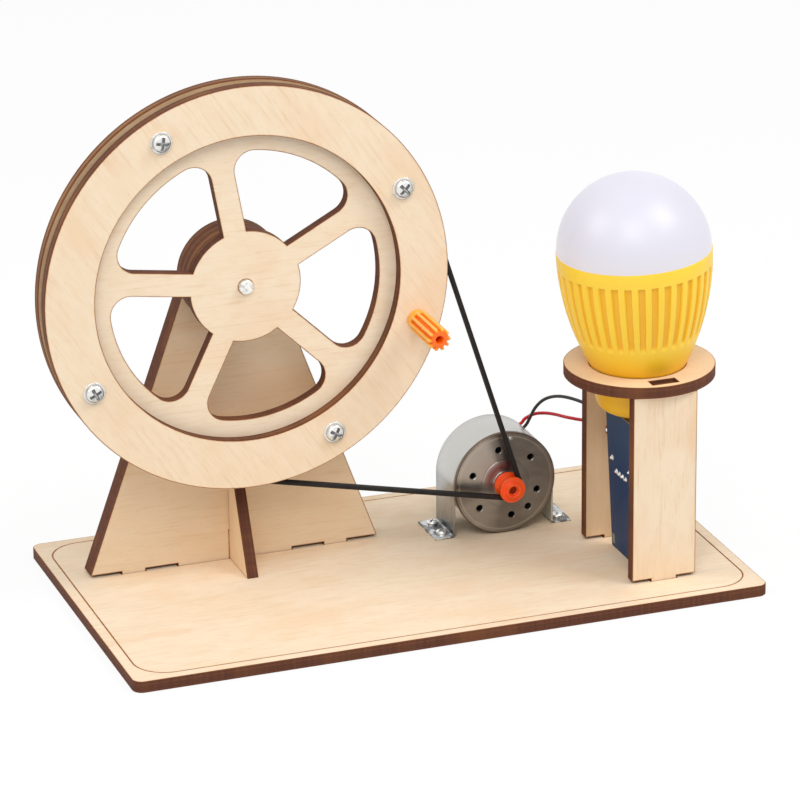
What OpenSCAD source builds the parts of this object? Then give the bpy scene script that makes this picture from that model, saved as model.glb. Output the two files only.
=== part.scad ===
// Hand crank generator in laser-cut plywood. A large spoked wheel, turned by its knob, drives
// a small motor through a rubber belt. The motor lights a plug-in bulb, which stands in a ring
// on two posts over an upright circuit board with a socket.
// The origin is the middle of the base board's underside: X right, Y back, Z up.

/* [Base board] */
// Width of the base board along X
base_w = 192; // [186:1:230]
// Depth of the base board along Y
base_d = 107; // [103:1:140]
// Thickness of every plywood sheet
ply_t = 3.4; // [3:0.1:3.8]
// Corner radius of the base board
base_corner_r = 3; // [1:0.5:8]
// Distance from the board's edge to the scored border line
border_inset = 3.2; // [2:0.2:4.6]
// Width of the scored border line
border_w = 0.4; // [0.2:0.1:0.8]
// Depth of the scored border line
border_depth = 0.25; // [0.1:0.05:0.6]
// Corner radius of the scored border line
border_r = 10; // [5:0.5:16]

/* [Wheel stand] */
// Distance from the board's left edge to the middle of the stand
stand_from_left = 53.8; // [52:0.2:60]
// Distance from the board's front edge to the stand's front face
stand_from_front = 75.6; // [70:0.2:78]
// Width of the stand's foot
stand_foot_w = 88.6; // [80:0.2:94]
// Height of the wheel's axle above the board
axle_h = 90; // [84:1:120]
// Radius of the stand's rounded top
stand_head_r = 11.15; // [8:0.05:15]
// Width of the stand's outer tabs
stand_tab_w = 7.3; // [5:0.1:9]
// Distance from the middle of the stand to the middle of an outer tab
stand_tab_x = 31.25; // [28:0.25:34]
// Width of the stand's middle tab
stand_mid_w = 35.4; // [20:0.2:42]
// Height of the slit that stays open between the tabs
shoulder_gap = 0.8; // [0.2:0.1:1.6]
// Reach of the cross brace beyond each face of the stand
brace_reach = 16.8; // [12:0.2:19]
// Height of the brace where it meets the stand
brace_h = 37.6; // [28:0.2:44]
// Height of the half lap where brace and stand cross
lap_h = 9; // [5:0.5:14]

/* [Wheel] */
// Outer radius of the wheel's two rings
ring_r = 60.3; // [54:0.1:64]
// Width of each ring
ring_w = 14.7; // [12:0.1:16]
// Depth of the groove that the belt runs in
groove_depth = 2.5; // [2:0.1:3]
// Width of the spoked disc's rim inside the rings
rim_lip = 5.2; // [3:0.1:8]
// Radius of the hub
hub_r = 16.6; // [12:0.1:20]
// Number of spokes
spoke_n = 5; // [4:1:7]
// Width of a spoke
spoke_w = 7; // [5:0.1:9]
// Angle of the first spoke from the right
spoke_angle = 28; // [0:1:60]
// Corner radius of the windows at the rim
window_corner_r = 5.6; // [2:0.1:7]
// Radius of the steel axle
axle_r = 2.15; // [1.5:0.05:3]
// How far the axle stands out of the hub
axle_proud = 1.5; // [0.5:0.1:3]
// Radius of the spacer discs behind the hub
spacer_r = 15.6; // [13:0.1:20]
// Gap between the hub and the spacer discs, filled by the bush
hub_gap = 2.5; // [1:0.1:4]
// Radius of the bush behind the hub
bush_r = 4.5; // [3.5:0.1:8]

/* [Crank knob] */
// Angle of the knob on the wheel from the right, turning down
knob_angle = 17; // [5:1:30]
// Length of the knob in front of the ring
knob_len = 19; // [12:0.5:30]
// Number of teeth on the knob
knob_teeth = 10; // [8:1:12]
// Radius of the knob over its teeth
knob_tip_r = 3.45; // [3.2:0.05:5]
// Radius of the knob between its teeth
knob_root_r = 2.4; // [2:0.05:2.8]
// Length of the plain collar at the ring
knob_collar_len = 3; // [1:0.1:5]
// Radius of the bore through the knob
knob_bore_r = 1.1; // [0.8:0.05:1.4]
// Radius of the knob's journal inside the wheel
journal_r = 2.5; // [2.1:0.05:2.8]

/* [Motor] */
// Distance to the right from the wheel's axle to the motor's axis
motor_from_wheel = 81.2; // [76:0.2:83]
// Radius of the motor's front plate
motor_plate_r = 15.9; // [14:0.1:17]
// Thickness of the front plate
motor_plate_t = 1.4; // [1:0.1:2]
// Wall of the motor's can
can_wall = 0.8; // [0.6:0.1:1.2]
// Length of the can with its front plate
motor_len = 17.4; // [14:0.2:20]
// Radius of the motor's shaft
shaft_r = 1; // [0.75:0.05:1.2]
// Radius of the pulley's front flange
pulley_r = 3.96; // [3.6:0.02:5]
// Radius of the pulley's groove
pulley_groove_r = 2.8; // [2.2:0.05:3.2]
// Width of the belt
belt_w = 2.2; // [1.6:0.1:2.6]
// Thickness of the belt
belt_t = 1.2; // [0.8:0.1:1.6]
// Width of the steel strap over the motor
strap_w = 15; // [12:0.5:16]
// Thickness of the strap
strap_t = 0.6; // [0.4:0.1:1]
// Length of the strap's feet
strap_foot = 5.8; // [5:0.1:6.4]

/* [Lamp stand] */
// Distance from the board's right edge to the bulb's axis
lamp_from_right = 27; // [24:0.5:28]
// Distance from the board's front edge to the bulb's axis
lamp_from_front = 34.2; // [30:0.2:38]
// Width of the two posts
post_w = 19.8; // [16:0.2:22]
// Clear distance between the posts
post_gap = 32.6; // [31:0.2:34]
// Width of the posts' tabs
post_tab_w = 8; // [6:0.2:12]
// Height of the ring's underside above the board
ring_h = 57.5; // [52:0.5:70]
// Radius of the lamp ring
lamp_ring_r = 22.07; // [21.4:0.01:24]

/* [Bulb] */
// Largest radius of the yellow body, at its rim
bulb_r = 22.6; // [22:0.1:23.4]
// Radius of the body's bulging side
bulb_side_r = 74.7; // [66:0.1:78]
// Height of the body above the lamp ring
bulb_h = 34.8; // [31:0.2:35]
// Depth of the neck below the top of the lamp ring
neck_drop = 14; // [13:0.5:20]
// Step from the body to the neck
neck_step = 0.9; // [0.4:0.1:1.6]
// Radius of the neck's lower edge
neck_corner_r = 4.5; // [2:0.1:6]
// Wall of the yellow body
bulb_wall = 1.8; // [1.6:0.1:2.6]
// Number of flutes round the body
flute_n = 36; // [24:1:40]
// Depth of the flutes
flute_depth = 0.8; // [0.4:0.05:1]
// Wall of the frosted dome
dome_wall = 1.2; // [0.8:0.1:2]
// Degrees that the bulb and its circuit board lean to the left
bulb_lean = 3; // [0:0.5:4]

/* [Plug and board] */
// Width of the plug
plug_w = 12; // [11:0.1:12.4]
// Thickness of the plug
plug_t = 4.5; // [4.2:0.1:4.8]
// Length of the plug below the neck
plug_len = 12; // [9:0.2:13]
// Width of the circuit board
pcb_w = 20; // [18:0.2:24]
// Thickness of the circuit board
pcb_t = 1.6; // [1:0.1:2]
// Length of the socket
socket_len = 18; // [13.4:0.2:18]
// Radius of the two wires
wire_r = 0.5; // [0.3:0.05:0.6]

/* [Hidden] */
$fn = 64;

// Fits and seats
slot_clear = 0.05;       // round a tab in its slot
run_clear = 0.06;        // round a turning pin
seat_clear = 0.02;       // round a pin that sits fast
face_gap = 0.1;          // between faces that turn past each other
ring_clear = 0.1;        // between the bulb and the lamp ring
cut = 1;                 // overrun of a cutter beyond a face

// The board's top and the stand
base_top = ply_t;
stand_x = stand_from_left - base_w / 2;
stand_front_y = stand_from_front - base_d / 2;
stand_back_y = stand_front_y + 2 * ply_t;
stand_mid_y = stand_front_y + ply_t;
axle_z = base_top + axle_h;
shoulder_z = base_top + shoulder_gap;

// The wheel, from its front ring back to the spacer discs
spacer_front_y = stand_front_y - 3 * ply_t;
wheel_back_y = spacer_front_y - hub_gap + ply_t;
disc_front_y = wheel_back_y - 2 * ply_t;
wheel_front_y = wheel_back_y - 3 * ply_t;
belt_y = disc_front_y + ply_t / 2;
ring_inner_r = ring_r - ring_w;
disc_r = ring_r - groove_depth;
window_r = ring_inner_r - rim_lip;
fixing_r = ring_inner_r + ring_w / 2;

// Screws and nuts that clamp the three layers of the wheel
ring_screw_n = 4;
ring_screw_shank_r = 1.5;
ring_screw_head_r = 2.55;
ring_screw_head_h = 1.6;
ring_screw_flange_r = 3.2;
ring_screw_flange_t = 0.5;
nut_flats = 5.5;
nut_t = 2.4;
nut_proud = 0.8;

// The axle's stop behind the stand
collar_r = 5;
collar_len = 4;
axle_tail = 1.5;

// The knob's collar, and its screw and washer behind the wheel
knob_collar_r = 3.1;
tooth_base_w = 1.2;
tooth_tip_w = 0.8;
tooth_run = 0.3;
knob_x = stand_x + fixing_r * cos(knob_angle);
knob_z = axle_z - fixing_r * sin(knob_angle);
knob_front_y = wheel_front_y - knob_len;
journal_end_y = wheel_back_y + face_gap;
washer_r = 4.2;
washer_t = 0.8;
knob_screw_head_r = 2.6;
knob_screw_head_h = 1.6;
knob_screw_len = 9;

// Steps that the belt bends in round the wheel and the pulley
belt_wheel_steps = 72;
belt_pulley_steps = 12;

// The motor stands on the board and its pulley lines up with the wheel
pulley_back_t = 1.2;
pulley_front_t = 1.9;
pulley_boss_t = 0.9;
pulley_boss_r = 2.5;
pulley_recess_r = 1.5;
pulley_recess = 1;
pulley_groove_w = belt_w + 2 * face_gap;
boss_gap = 0.4;
boss_r = 4.1;
boss_h = 0.7;
plate_step_r = 7.5;
plate_step_h = 0.35;
motor_x = stand_x + motor_from_wheel;
motor_z = base_top + motor_plate_r + face_gap;
boss_front_y = belt_y + pulley_groove_w / 2 + pulley_back_t + boss_gap;
motor_face_y = boss_front_y + boss_h;
can_front_y = motor_face_y + motor_plate_t;
motor_back_y = motor_face_y + motor_len;
pulley_front_y = belt_y - pulley_groove_w / 2 - pulley_front_t - pulley_boss_t;
vent_n = 6;
vent_r = 1;
vent_pcd_r = 10.75;
vent_angle = 101;
pilot_pcd_r = 11.35;
pilot_angle = -49.7;
crimp_pcd_r = 14.4;
crimp_w = 1.3;
crimp_depth = 0.5;
crimp_angle = 7.65;

// Inside the motor
bearing_r = 2.2;
bearing_len = 3.4;
magnet_t = 2.6;
magnet_span = 130;
magnet_len_share = 0.62;
rotor_gap = 0.6;
rotor_poles = 3;
rotor_shoe_t = 2;
rotor_stem_w = 3.6;
rotor_shoe_w = 14;
rotor_hub_r = 3;
rotor_len_share = 0.52;
commutator_r = 2.6;
commutator_len = 2.4;
rear_cap_r = 11;
rear_cap_proud = 1.2;
rear_boss_r = 3.4;
rear_boss_h = 1.6;

// The strap over the motor and its screws
strap_inner_r = motor_plate_r - strap_t;
can_r = strap_inner_r - seat_clear;
strap_front_y = can_front_y + seat_clear;
strap_leg_x = strap_inner_r + strap_t;
strap_screw_share = 0.45;
strap_screw_x = strap_leg_x + strap_foot * strap_screw_share;
strap_screw_pitch = 8.2;
strap_screw_shank_r = 0.8;
strap_screw_head_r = 1.7;
strap_screw_head_h = 1.2;
strap_screw_len = 3;

// The lamp stand
lamp_x = base_w / 2 - lamp_from_right;
lamp_y = lamp_from_front - base_d / 2;
front_post_y = lamp_y - post_gap / 2 - ply_t;
rear_post_y = lamp_y + post_gap / 2;
ring_under_z = base_top + ring_h;
ring_top_z = ring_under_z + ply_t;
post_tab_recess = 1;
wire_hole_r = 2.1;
wire_hole_aside = 1.75;

// The bulb, seated in the lamp ring
bulb_seat_r = side_r(0);
lean_rise = (bulb_seat_r + ply_t) * sin(bulb_lean);
ring_hole_r = side_r(lean_rise) / cos(bulb_lean) + ply_t * tan(bulb_lean) + ring_clear;
bulb_rim_z = ring_top_z + bulb_h;
neck_r = bulb_seat_r - neck_step;
neck_z = ring_top_z - neck_drop;
flute_top = 5.6;
flute_bottom = 9.2;
flute_share = 0.46;
floor_t = 2;
ledge_drop = 4;
ledge_w = 2;
dome_inset = 0.2;
led_board_t = 1.2;
led_n = 8;
led_side = 2.8;
led_t = 0.7;
led_ring_share = 0.62;
led_board_play = 0.3;

// The plug, the board and the socket
sheet_t = 0.3;
insert_t = 1.9;
tongue_t = 1.6;
tongue_w = 10.6;
socket_w = 13.1;
socket_t = 5.8;
socket_floor = 2;
socket_below_pcb_top = 0.5;
pcb_gap = 1.3;
socket_rise = 2.5;
pcb_top_z = neck_z - pcb_gap;
pcb_x = lamp_x - socket_t / 2 - socket_rise - pcb_t;
pcb_face_x = pcb_x + pcb_t;
pcb_foot_z = ring_under_z
    - (ring_under_z - base_top - (lamp_x - pcb_x) * sin(bulb_lean)) / cos(bulb_lean);
socket_top_z = pcb_top_z - socket_below_pcb_top;
socket_z = socket_top_z - socket_len;
pin_n = 4;
pin_pitch = 2.3;
joint_r = 0.75;
joint_h = 0.7;
tab_joint_z = 2.6;
chip_w = 5;
chip_t = 1.6;
chip_z = 16;
cap_r = 2.5;
cap_h = 7;
cap_z = 6;
diode_w = 2;
diode_h = 4;

// The wires: solder tags on the motor, pads on the circuit board, and the way between them
tag_pcd_r = 9.4;
tag_angles = [52, 22];
tag_w = 2;
tag_t = 0.5;
tag_len = 1.6;
blob_r = 0.8;
blob_len = 0.8;
wire_sides = 8;
pad_r = 0.95;
pad_len = 1.6;
pad_inset = 1.1;
red_pad_rise = 6.4;
black_pad_rise = 8.6;
pad_y = lamp_y + pcb_w / 2 - pad_inset;
red_pad_z = socket_z + red_pad_rise;
black_pad_z = socket_z + black_pad_rise;
pads_off = pcb_face_x + pad_r - lamp_x;
pads_fall = ring_under_z - (red_pad_z + black_pad_z) / 2;
wire_hole_off = pads_off * cos(bulb_lean) + pads_fall * sin(bulb_lean) + wire_hole_aside;
wire_hole_z = ring_under_z + pads_off * sin(bulb_lean) - pads_fall * cos(bulb_lean);
red_route = [[44.8, 32.2, 26.8], [44.8, 33.8, 26.8], [45.8, 35.4, 26.9], [48, 36, 27.2],
    [50.6, 34.8, 27.7], [52.5, 33, 28.6], [53.7, 32.2, 30.4], [56.3, 31, 31.9],
    [58.4, 28, 32.9], [60, 24, 33.7], [61, 19, 34.6], [62.4, 14, 35.5], [64.5, 9, 36.3],
    [66.4, 4.6, 36.8], [67.4, 0.6, 36.9], [67.3, -3.2, 36.9], [66.3, -6.8, 36.8],
    [65.8, -9, 36.7], [65.8, -10.4, 36.7]];
black_route = [[47.7, 32.2, 22.9], [47.7, 33.8, 22.9], [48.8, 35.4, 23.3], [50.8, 35.2, 24.6],
    [52.6, 33.6, 26.2], [53.9, 32, 28.4], [54.5, 30.2, 31.4], [55.2, 27.8, 35.2],
    [56.6, 25, 38.4], [58.4, 21.5, 40.5], [60.4, 17, 41.7], [62.8, 10.5, 42.2],
    [65.6, 6, 41.1], [67.2, 2.6, 39.6], [67.6, -0.6, 39], [67.2, -3.6, 38.9],
    [66.2, -7, 38.9], [65.7, -9.2, 38.9], [65.7, -10.4, 38.9]];

// ---- shared shapes ----

// Radius of the bulb's side at height h above the lamp ring
function side_r(h) = bulb_r - bulb_side_r + sqrt(pow(bulb_side_r, 2) - pow(bulb_h - h, 2));

// Unit vector along v
function unit(v) = v / norm(v);

// Point at share s of the way from p[i] to p[i + 1] on a smooth curve through the points
function curve_point(p, i, s) = let(
    last = len(p) - 1,
    a = p[max(i - 1, 0)],
    b = p[i],
    c = p[min(i + 1, last)],
    d = p[min(i + 2, last)])
    0.5 * (2 * b + (c - a) * s + (2 * a - 5 * b + 4 * c - d) * pow(s, 2)
        + (3 * b - a - 3 * c + d) * pow(s, 3));

// The points of a route, with steps rings between two neighbours
function curve_points(p, steps) = [
    for (i = [0:len(p) - 2]) for (k = [0:steps - 1]) curve_point(p, i, k / steps),
    p[len(p) - 1]];

// Direction of the curve at each of its points
function headings(c) = [
    for (i = [0:len(c) - 1]) unit(c[min(i + 1, len(c) - 1)] - c[max(i - 1, 0)])];

// A side vector at each point, carried along the curve without twisting round it
function sides_along(t, i, side) = i == len(t) ? [] : let(
    next = unit(side - (side * t[i]) * t[i]))
    concat([next], sides_along(t, i + 1, next));

// A round tube along a route, with two rings to each stretch
module tube(route, r, n) {
    c = curve_points(route, 2);
    t = headings(c);
    u = sides_along(t, 0, [0, 0, 1]);
    last = len(c) - 1;
    points = [for (i = [0:last]) for (k = [0:n - 1])
        c[i] + r * (cos(360 * k / n) * u[i] + sin(360 * k / n) * cross(t[i], u[i]))];
    walls = [for (i = [0:last - 1]) for (k = [0:n - 1])
        let(a = i * n + k, b = i * n + (k + 1) % n)
        each [[a, a + n, b], [b, a + n, b + n]]];
    ends = [[for (k = [0:n - 1]) k], [for (k = [n - 1:-1:0]) last * n + k]];
    polyhedron(points = points, faces = concat(walls, ends));
}

// An upright sheet parallel to the front, from its front face at y back by t
module upright(y, t) {
    translate([0, y + t, 0])
        rotate([90, 0, 0])
            linear_extrude(t)
                children();
}

// A shape drawn round Z, laid down so that it runs back from y round the same axis
module along_y(y) {
    translate([0, y, 0])
        rotate([-90, 0, 0])
            children();
}

// Moves to the wheel's axle, the motor's axis or the bulb's axis
module at_axle() {
    translate([stand_x, 0, axle_z])
        children();
}

module at_motor() {
    translate([motor_x, 0, motor_z])
        children();
}

module at_lamp(z) {
    translate([lamp_x, lamp_y, z])
        children();
}

// Leans what the bulb carries, about the lower edge of the lamp ring
module leaning() {
    translate([lamp_x, 0, ring_under_z])
        rotate([0, -bulb_lean, 0])
            translate([-lamp_x, 0, -ring_under_z])
                children();
}

// Rectangle with round corners about the origin
module round_rect(w, d, r) {
    square([w - 2 * r, d], center = true);
    square([w, d - 2 * r], center = true);
    for (sx = [-1, 1], sy = [-1, 1])
        translate([sx * (w / 2 - r), sy * (d / 2 - r)])
            circle(r);
}

// Rectangle from height z0 to z1, centred on x
module bar(x, w, z0, z1) {
    translate([x - w / 2, z0])
        square([w, z1 - z0]);
}

// Flat ring between two radii
module band(outer, inner) {
    difference() {
        circle(outer);
        circle(inner);
    }
}

// Places its children at each fixing of the wheel
module at_fixings() {
    for (i = [0:ring_screw_n - 1])
        rotate(spoke_angle + 360 * i / ring_screw_n)
            translate([fixing_r, 0])
                children();
}

// Holes for the four screws and the knob through one layer of the wheel
module wheel_holes() {
    at_fixings()
        circle(ring_screw_shank_r + seat_clear);
    rotate(-knob_angle)
        translate([fixing_r, 0])
            circle(journal_r + run_clear);
}

// Pan head with a cross recess, its underside at z = 0 and its shank going down
module pan_screw(head_r, head_h, shank_r, shank_len) {
    recess_w = head_r * 0.34;
    difference() {
        union() {
            cylinder(h = head_h * 0.5, r = head_r);
            translate([0, 0, head_h * 0.5])
                cylinder(h = head_h * 0.5, r1 = head_r, r2 = head_r * 0.62);
            translate([0, 0, -shank_len])
                cylinder(h = shank_len, r = shank_r);
        }
        for (a = [0, 90])
            rotate(a)
                translate([-head_r * 0.55, -recess_w / 2, head_h * 0.4])
                    cube([head_r * 1.1, recess_w, head_h]);
    }
}

// ---- base board and wheel stand ----

// Slots for the stand's tabs and the two posts
module board_slots() {
    stand_slot_d = 2 * (ply_t + slot_clear);
    for (s = [-1, 0, 1])
        translate([stand_x + s * stand_tab_x, stand_mid_y])
            square([(s == 0 ? stand_mid_w : stand_tab_w) + 2 * slot_clear, stand_slot_d],
                center = true);
    for (y = [front_post_y, rear_post_y])
        translate([lamp_x, y + ply_t / 2])
            square([post_tab_w + 2 * slot_clear, ply_t + 2 * slot_clear], center = true);
}

// Places its children at the four screws of the motor's strap, on the board's top
module at_strap_screws() {
    for (sx = [-1, 1], sy = [-1, 1])
        translate([motor_x + sx * strap_screw_x,
                strap_front_y + strap_w / 2 + sy * strap_screw_pitch / 2, base_top])
            children();
}

module base_board() {
    color("burlywood")
        difference() {
            linear_extrude(ply_t)
                difference() {
                    round_rect(base_w, base_d, base_corner_r);
                    board_slots();
                }
            // the scored border line
            translate([0, 0, base_top - border_depth])
                linear_extrude(border_depth + cut)
                    difference() {
                        round_rect(base_w - 2 * border_inset, base_d - 2 * border_inset,
                            border_r);
                        round_rect(base_w - 2 * (border_inset + border_w),
                            base_d - 2 * (border_inset + border_w), border_r - border_w);
                    }
            at_strap_screws()
                translate([0, 0, -strap_screw_len])
                    cylinder(h = strap_screw_len + cut, r = strap_screw_shank_r + seat_clear);
        }
}

// Tall trapezoid whose slanting edges run tangent into the round top, on three tabs
module stand_outline() {
    foot = [stand_foot_w / 2, shoulder_z - axle_z];
    lean = atan2(foot.y, foot.x) + acos(stand_head_r / norm(foot));
    neck = [stand_head_r * cos(lean), stand_head_r * sin(lean)];
    difference() {
        union() {
            translate([0, axle_z]) {
                polygon([[-foot.x, foot.y], foot, neck, [-neck.x, neck.y]]);
                circle(stand_head_r);
            }
            for (s = [-1, 1])
                bar(s * stand_tab_x, stand_tab_w, 0, shoulder_z + lap_h);
            bar(0, stand_mid_w, 0, shoulder_z + lap_h);
        }
        translate([0, axle_z])
            circle(axle_r + run_clear);
        bar(0, ply_t + 2 * slot_clear, -cut, base_top + lap_h + slot_clear);
    }
}

module stand_front_plate() {
    color("burlywood")
        translate([stand_x, 0, 0])
            upright(stand_front_y, ply_t)
                stand_outline();
}

module stand_rear_plate() {
    color("burlywood")
        translate([stand_x, 0, 0])
            upright(stand_front_y + ply_t, ply_t)
                stand_outline();
}

// Brace across the stand, half lapped under it, its ends sloping down to the board
module stand_brace() {
    inner = ply_t + slot_clear;
    outer = ply_t + brace_reach;
    color("burlywood")
        translate([stand_x - ply_t / 2, stand_mid_y, base_top])
            rotate([90, 0, 90])
                linear_extrude(ply_t)
                    polygon([[-outer, 0], [outer, 0], [inner, brace_h], [inner, lap_h],
                        [-inner, lap_h], [-inner, brace_h]]);
}

module spacer_disc(i) {
    color("burlywood")
        at_axle()
            upright(spacer_front_y + i * ply_t, ply_t)
                band(spacer_r, axle_r + run_clear);
}

module spacer_front() {
    spacer_disc(0);
}

module spacer_middle() {
    spacer_disc(1);
}

module spacer_rear() {
    spacer_disc(2);
}

// ---- wheel ----

module wheel_ring(y) {
    color("burlywood")
        at_axle()
            upright(y, ply_t)
                difference() {
                    band(ring_r, ring_inner_r);
                    wheel_holes();
                }
}

module wheel_front_ring() {
    wheel_ring(wheel_front_y);
}

module wheel_back_ring() {
    wheel_ring(disc_front_y + ply_t);
}

// The wood left in the rounded corner between a spoke's upper edge and the rim
module window_corner() {
    edge = spoke_w / 2;
    r = window_corner_r;
    centre = [sqrt(pow(window_r - r, 2) - pow(edge + r, 2)), edge + r];
    corner_x = sqrt(pow(window_r, 2) - pow(edge, 2));
    touch = window_r * unit(centre);
    difference() {
        polygon([[centre.x, edge], [corner_x + rim_lip / 2, edge],
            touch * (1 + rim_lip / 2 / window_r), touch, centre]);
        translate(centre)
            circle(r);
    }
}

// Rim, hub and spokes; the windows' corners are round at the rim and sharp at the hub
module wheel_spoke_disc() {
    color("burlywood")
        at_axle()
            upright(disc_front_y, ply_t)
                difference() {
                    union() {
                        band(disc_r, window_r);
                        circle(hub_r);
                        for (i = [0:spoke_n - 1])
                            rotate(spoke_angle + 360 * i / spoke_n) {
                                translate([0, -spoke_w / 2])
                                    square([window_r + rim_lip / 2, spoke_w]);
                                window_corner();
                                mirror([0, 1])
                                    window_corner();
                            }
                    }
                    circle(axle_r + seat_clear);
                    wheel_holes();
                }
}

module ring_screws() {
    shank = 3 * ply_t + nut_t + nut_proud;
    color("silver")
        at_axle()
            translate([0, wheel_front_y, 0])
                rotate([90, 0, 0])
                    at_fixings() {
                        cylinder(h = ring_screw_flange_t, r = ring_screw_flange_r);
                        translate([0, 0, ring_screw_flange_t])
                            pan_screw(ring_screw_head_r, ring_screw_head_h,
                                ring_screw_shank_r, shank + ring_screw_flange_t);
                    }
}

module ring_nuts() {
    color("silver")
        at_axle()
            upright(wheel_back_y, nut_t)
                at_fixings()
                    difference() {
                        circle(r = nut_flats / sqrt(3), $fn = 6);
                        circle(ring_screw_shank_r + seat_clear);
                    }
}

module wheel_axle() {
    front = disc_front_y - axle_proud;
    back = stand_back_y + face_gap + collar_len + axle_tail;
    color("silver")
        at_axle()
            along_y(front)
                cylinder(h = back - front, r = axle_r);
}

module hub_bush() {
    color("white")
        at_axle()
            upright(disc_front_y + ply_t, hub_gap - face_gap)
                band(bush_r, axle_r + seat_clear);
}

module axle_collar() {
    color("white")
        at_axle()
            upright(stand_back_y + face_gap, collar_len)
                band(collar_r, axle_r + seat_clear);
}

// ---- crank knob ----

// Outline of the knob across its teeth
module knob_section() {
    circle(knob_root_r);
    for (i = [0:knob_teeth - 1])
        rotate(360 * i / knob_teeth)
            polygon([[0, -tooth_base_w / 2], [knob_root_r, -tooth_base_w / 2],
                [knob_tip_r, -tooth_tip_w / 2], [knob_tip_r, tooth_tip_w / 2],
                [knob_root_r, tooth_base_w / 2], [0, tooth_base_w / 2]]);
}

// Teeth that run a little way over the collar, and the journal that turns in the wheel
module crank_knob() {
    collar_back_y = wheel_front_y - face_gap;
    collar_front_y = collar_back_y - knob_collar_len;
    color("orange")
        translate([knob_x, 0, knob_z])
            difference() {
                union() {
                    upright(knob_front_y, collar_front_y + tooth_run - knob_front_y)
                        knob_section();
                    upright(collar_front_y, knob_collar_len)
                        circle(knob_collar_r);
                    upright(collar_front_y + knob_collar_len / 2,
                            journal_end_y - collar_front_y - knob_collar_len / 2)
                        circle(journal_r);
                }
                upright(knob_front_y - cut, journal_end_y - knob_front_y + 2 * cut)
                    circle(knob_bore_r);
            }
}

module knob_washer() {
    color("silver")
        translate([knob_x, 0, knob_z])
            upright(journal_end_y, washer_t)
                band(washer_r, knob_bore_r);
}

module knob_screw() {
    color("silver")
        translate([knob_x, 0, knob_z])
            along_y(journal_end_y + washer_t)
                pan_screw(knob_screw_head_r, knob_screw_head_h, knob_bore_r - seat_clear,
                    knob_screw_len);
}

// ---- belt ----

// Points on an arc, in n even steps from angle a0 to a1
function arc(centre, r, a0, a1, n) = [
    for (i = [0:n])
        let(a = a0 + (a1 - a0) * i / n)
        centre + r * [cos(a), sin(a)]];

// Loop of radius a round the wheel and b round the pulley, with two straight runs between
module belt_loop(a, b) {
    way = [motor_x - stand_x, motor_z - axle_z];
    aim = atan2(way.y, way.x);
    open = acos((a - b) / norm(way));
    polygon(concat(
        arc([0, 0], a, aim + open, aim + 360 - open, belt_wheel_steps),
        arc(way, b, aim - open, aim + open, belt_pulley_steps)));
}

module drive_belt() {
    a = disc_r + run_clear;
    b = pulley_groove_r + run_clear;
    color("black")
        at_axle()
            upright(belt_y - belt_w / 2, belt_w)
                difference() {
                    belt_loop(a + belt_t, b + belt_t);
                    belt_loop(a, b);
                }
}

// ---- motor ----

// Stamped front plate: a raised middle with the bearing's boss, vents and two crimps
module motor_front_plate() {
    color("silver")
        at_motor()
            difference() {
                union() {
                    upright(motor_face_y, motor_plate_t)
                        circle(motor_plate_r);
                    upright(motor_face_y - plate_step_h, plate_step_h)
                        circle(plate_step_r);
                    upright(boss_front_y, boss_h)
                        circle(boss_r);
                }
                upright(boss_front_y - cut, boss_h + motor_plate_t + 2 * cut)
                    circle(bearing_r + seat_clear);
                upright(motor_face_y - cut, motor_plate_t + 2 * cut) {
                    for (i = [0:vent_n - 1])
                        rotate(vent_angle + 360 * i / vent_n)
                            translate([vent_pcd_r, 0])
                                circle(vent_r);
                    rotate(pilot_angle)
                        translate([pilot_pcd_r, 0])
                            circle(vent_r);
                }
                upright(motor_face_y - cut, crimp_depth + cut)
                    for (s = [-1, 1])
                        rotate(90 + s * crimp_angle)
                            translate([crimp_pcd_r, 0])
                                square(crimp_w, center = true);
            }
}

module motor_can() {
    color("silver")
        at_motor() {
            upright(can_front_y, motor_len - motor_plate_t)
                band(can_r, can_r - can_wall);
            upright(motor_back_y - can_wall, can_wall)
                band(can_r - can_wall / 2, rear_cap_r + seat_clear);
        }
}

module motor_bearing() {
    color("goldenrod")
        at_motor()
            upright(boss_front_y, bearing_len)
                band(bearing_r, shaft_r + run_clear);
}

// Two curved magnets against the can's wall
module motor_magnets() {
    outer = can_r - can_wall - seat_clear;
    len = motor_len * magnet_len_share;
    color("dimgray")
        at_motor()
            for (s = [0, 180])
                along_y(motor_back_y - can_wall - len)
                    rotate(s - magnet_span / 2)
                        rotate_extrude(angle = magnet_span)
                            translate([outer - magnet_t, 0])
                                square([magnet_t, len]);
}

// Slotted iron core and the commutator behind it
module motor_rotor() {
    r = can_r - can_wall - magnet_t - rotor_gap;
    len = motor_len * rotor_len_share;
    core_y = motor_back_y - can_wall - commutator_len - face_gap - len;
    color("gray")
        at_motor() {
            upright(core_y, len)
                difference() {
                    union() {
                        circle(rotor_hub_r);
                        for (i = [0:rotor_poles - 1])
                            rotate(90 + 360 * i / rotor_poles) {
                                translate([0, -rotor_stem_w / 2])
                                    square([r - rotor_shoe_t / 2, rotor_stem_w]);
                                intersection() {
                                    band(r, r - rotor_shoe_t);
                                    translate([0, -rotor_shoe_w / 2])
                                        square([r + cut, rotor_shoe_w]);
                                }
                            }
                    }
                    circle(shaft_r + seat_clear);
                }
            upright(core_y + len, commutator_len)
                band(commutator_r, shaft_r + seat_clear);
        }
}

module motor_shaft() {
    front = pulley_front_y + pulley_recess;
    back = motor_back_y + rear_cap_proud + rear_boss_h / 2;
    color("silver")
        at_motor()
            along_y(front)
                cylinder(h = back - front, r = shaft_r);
}

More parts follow.
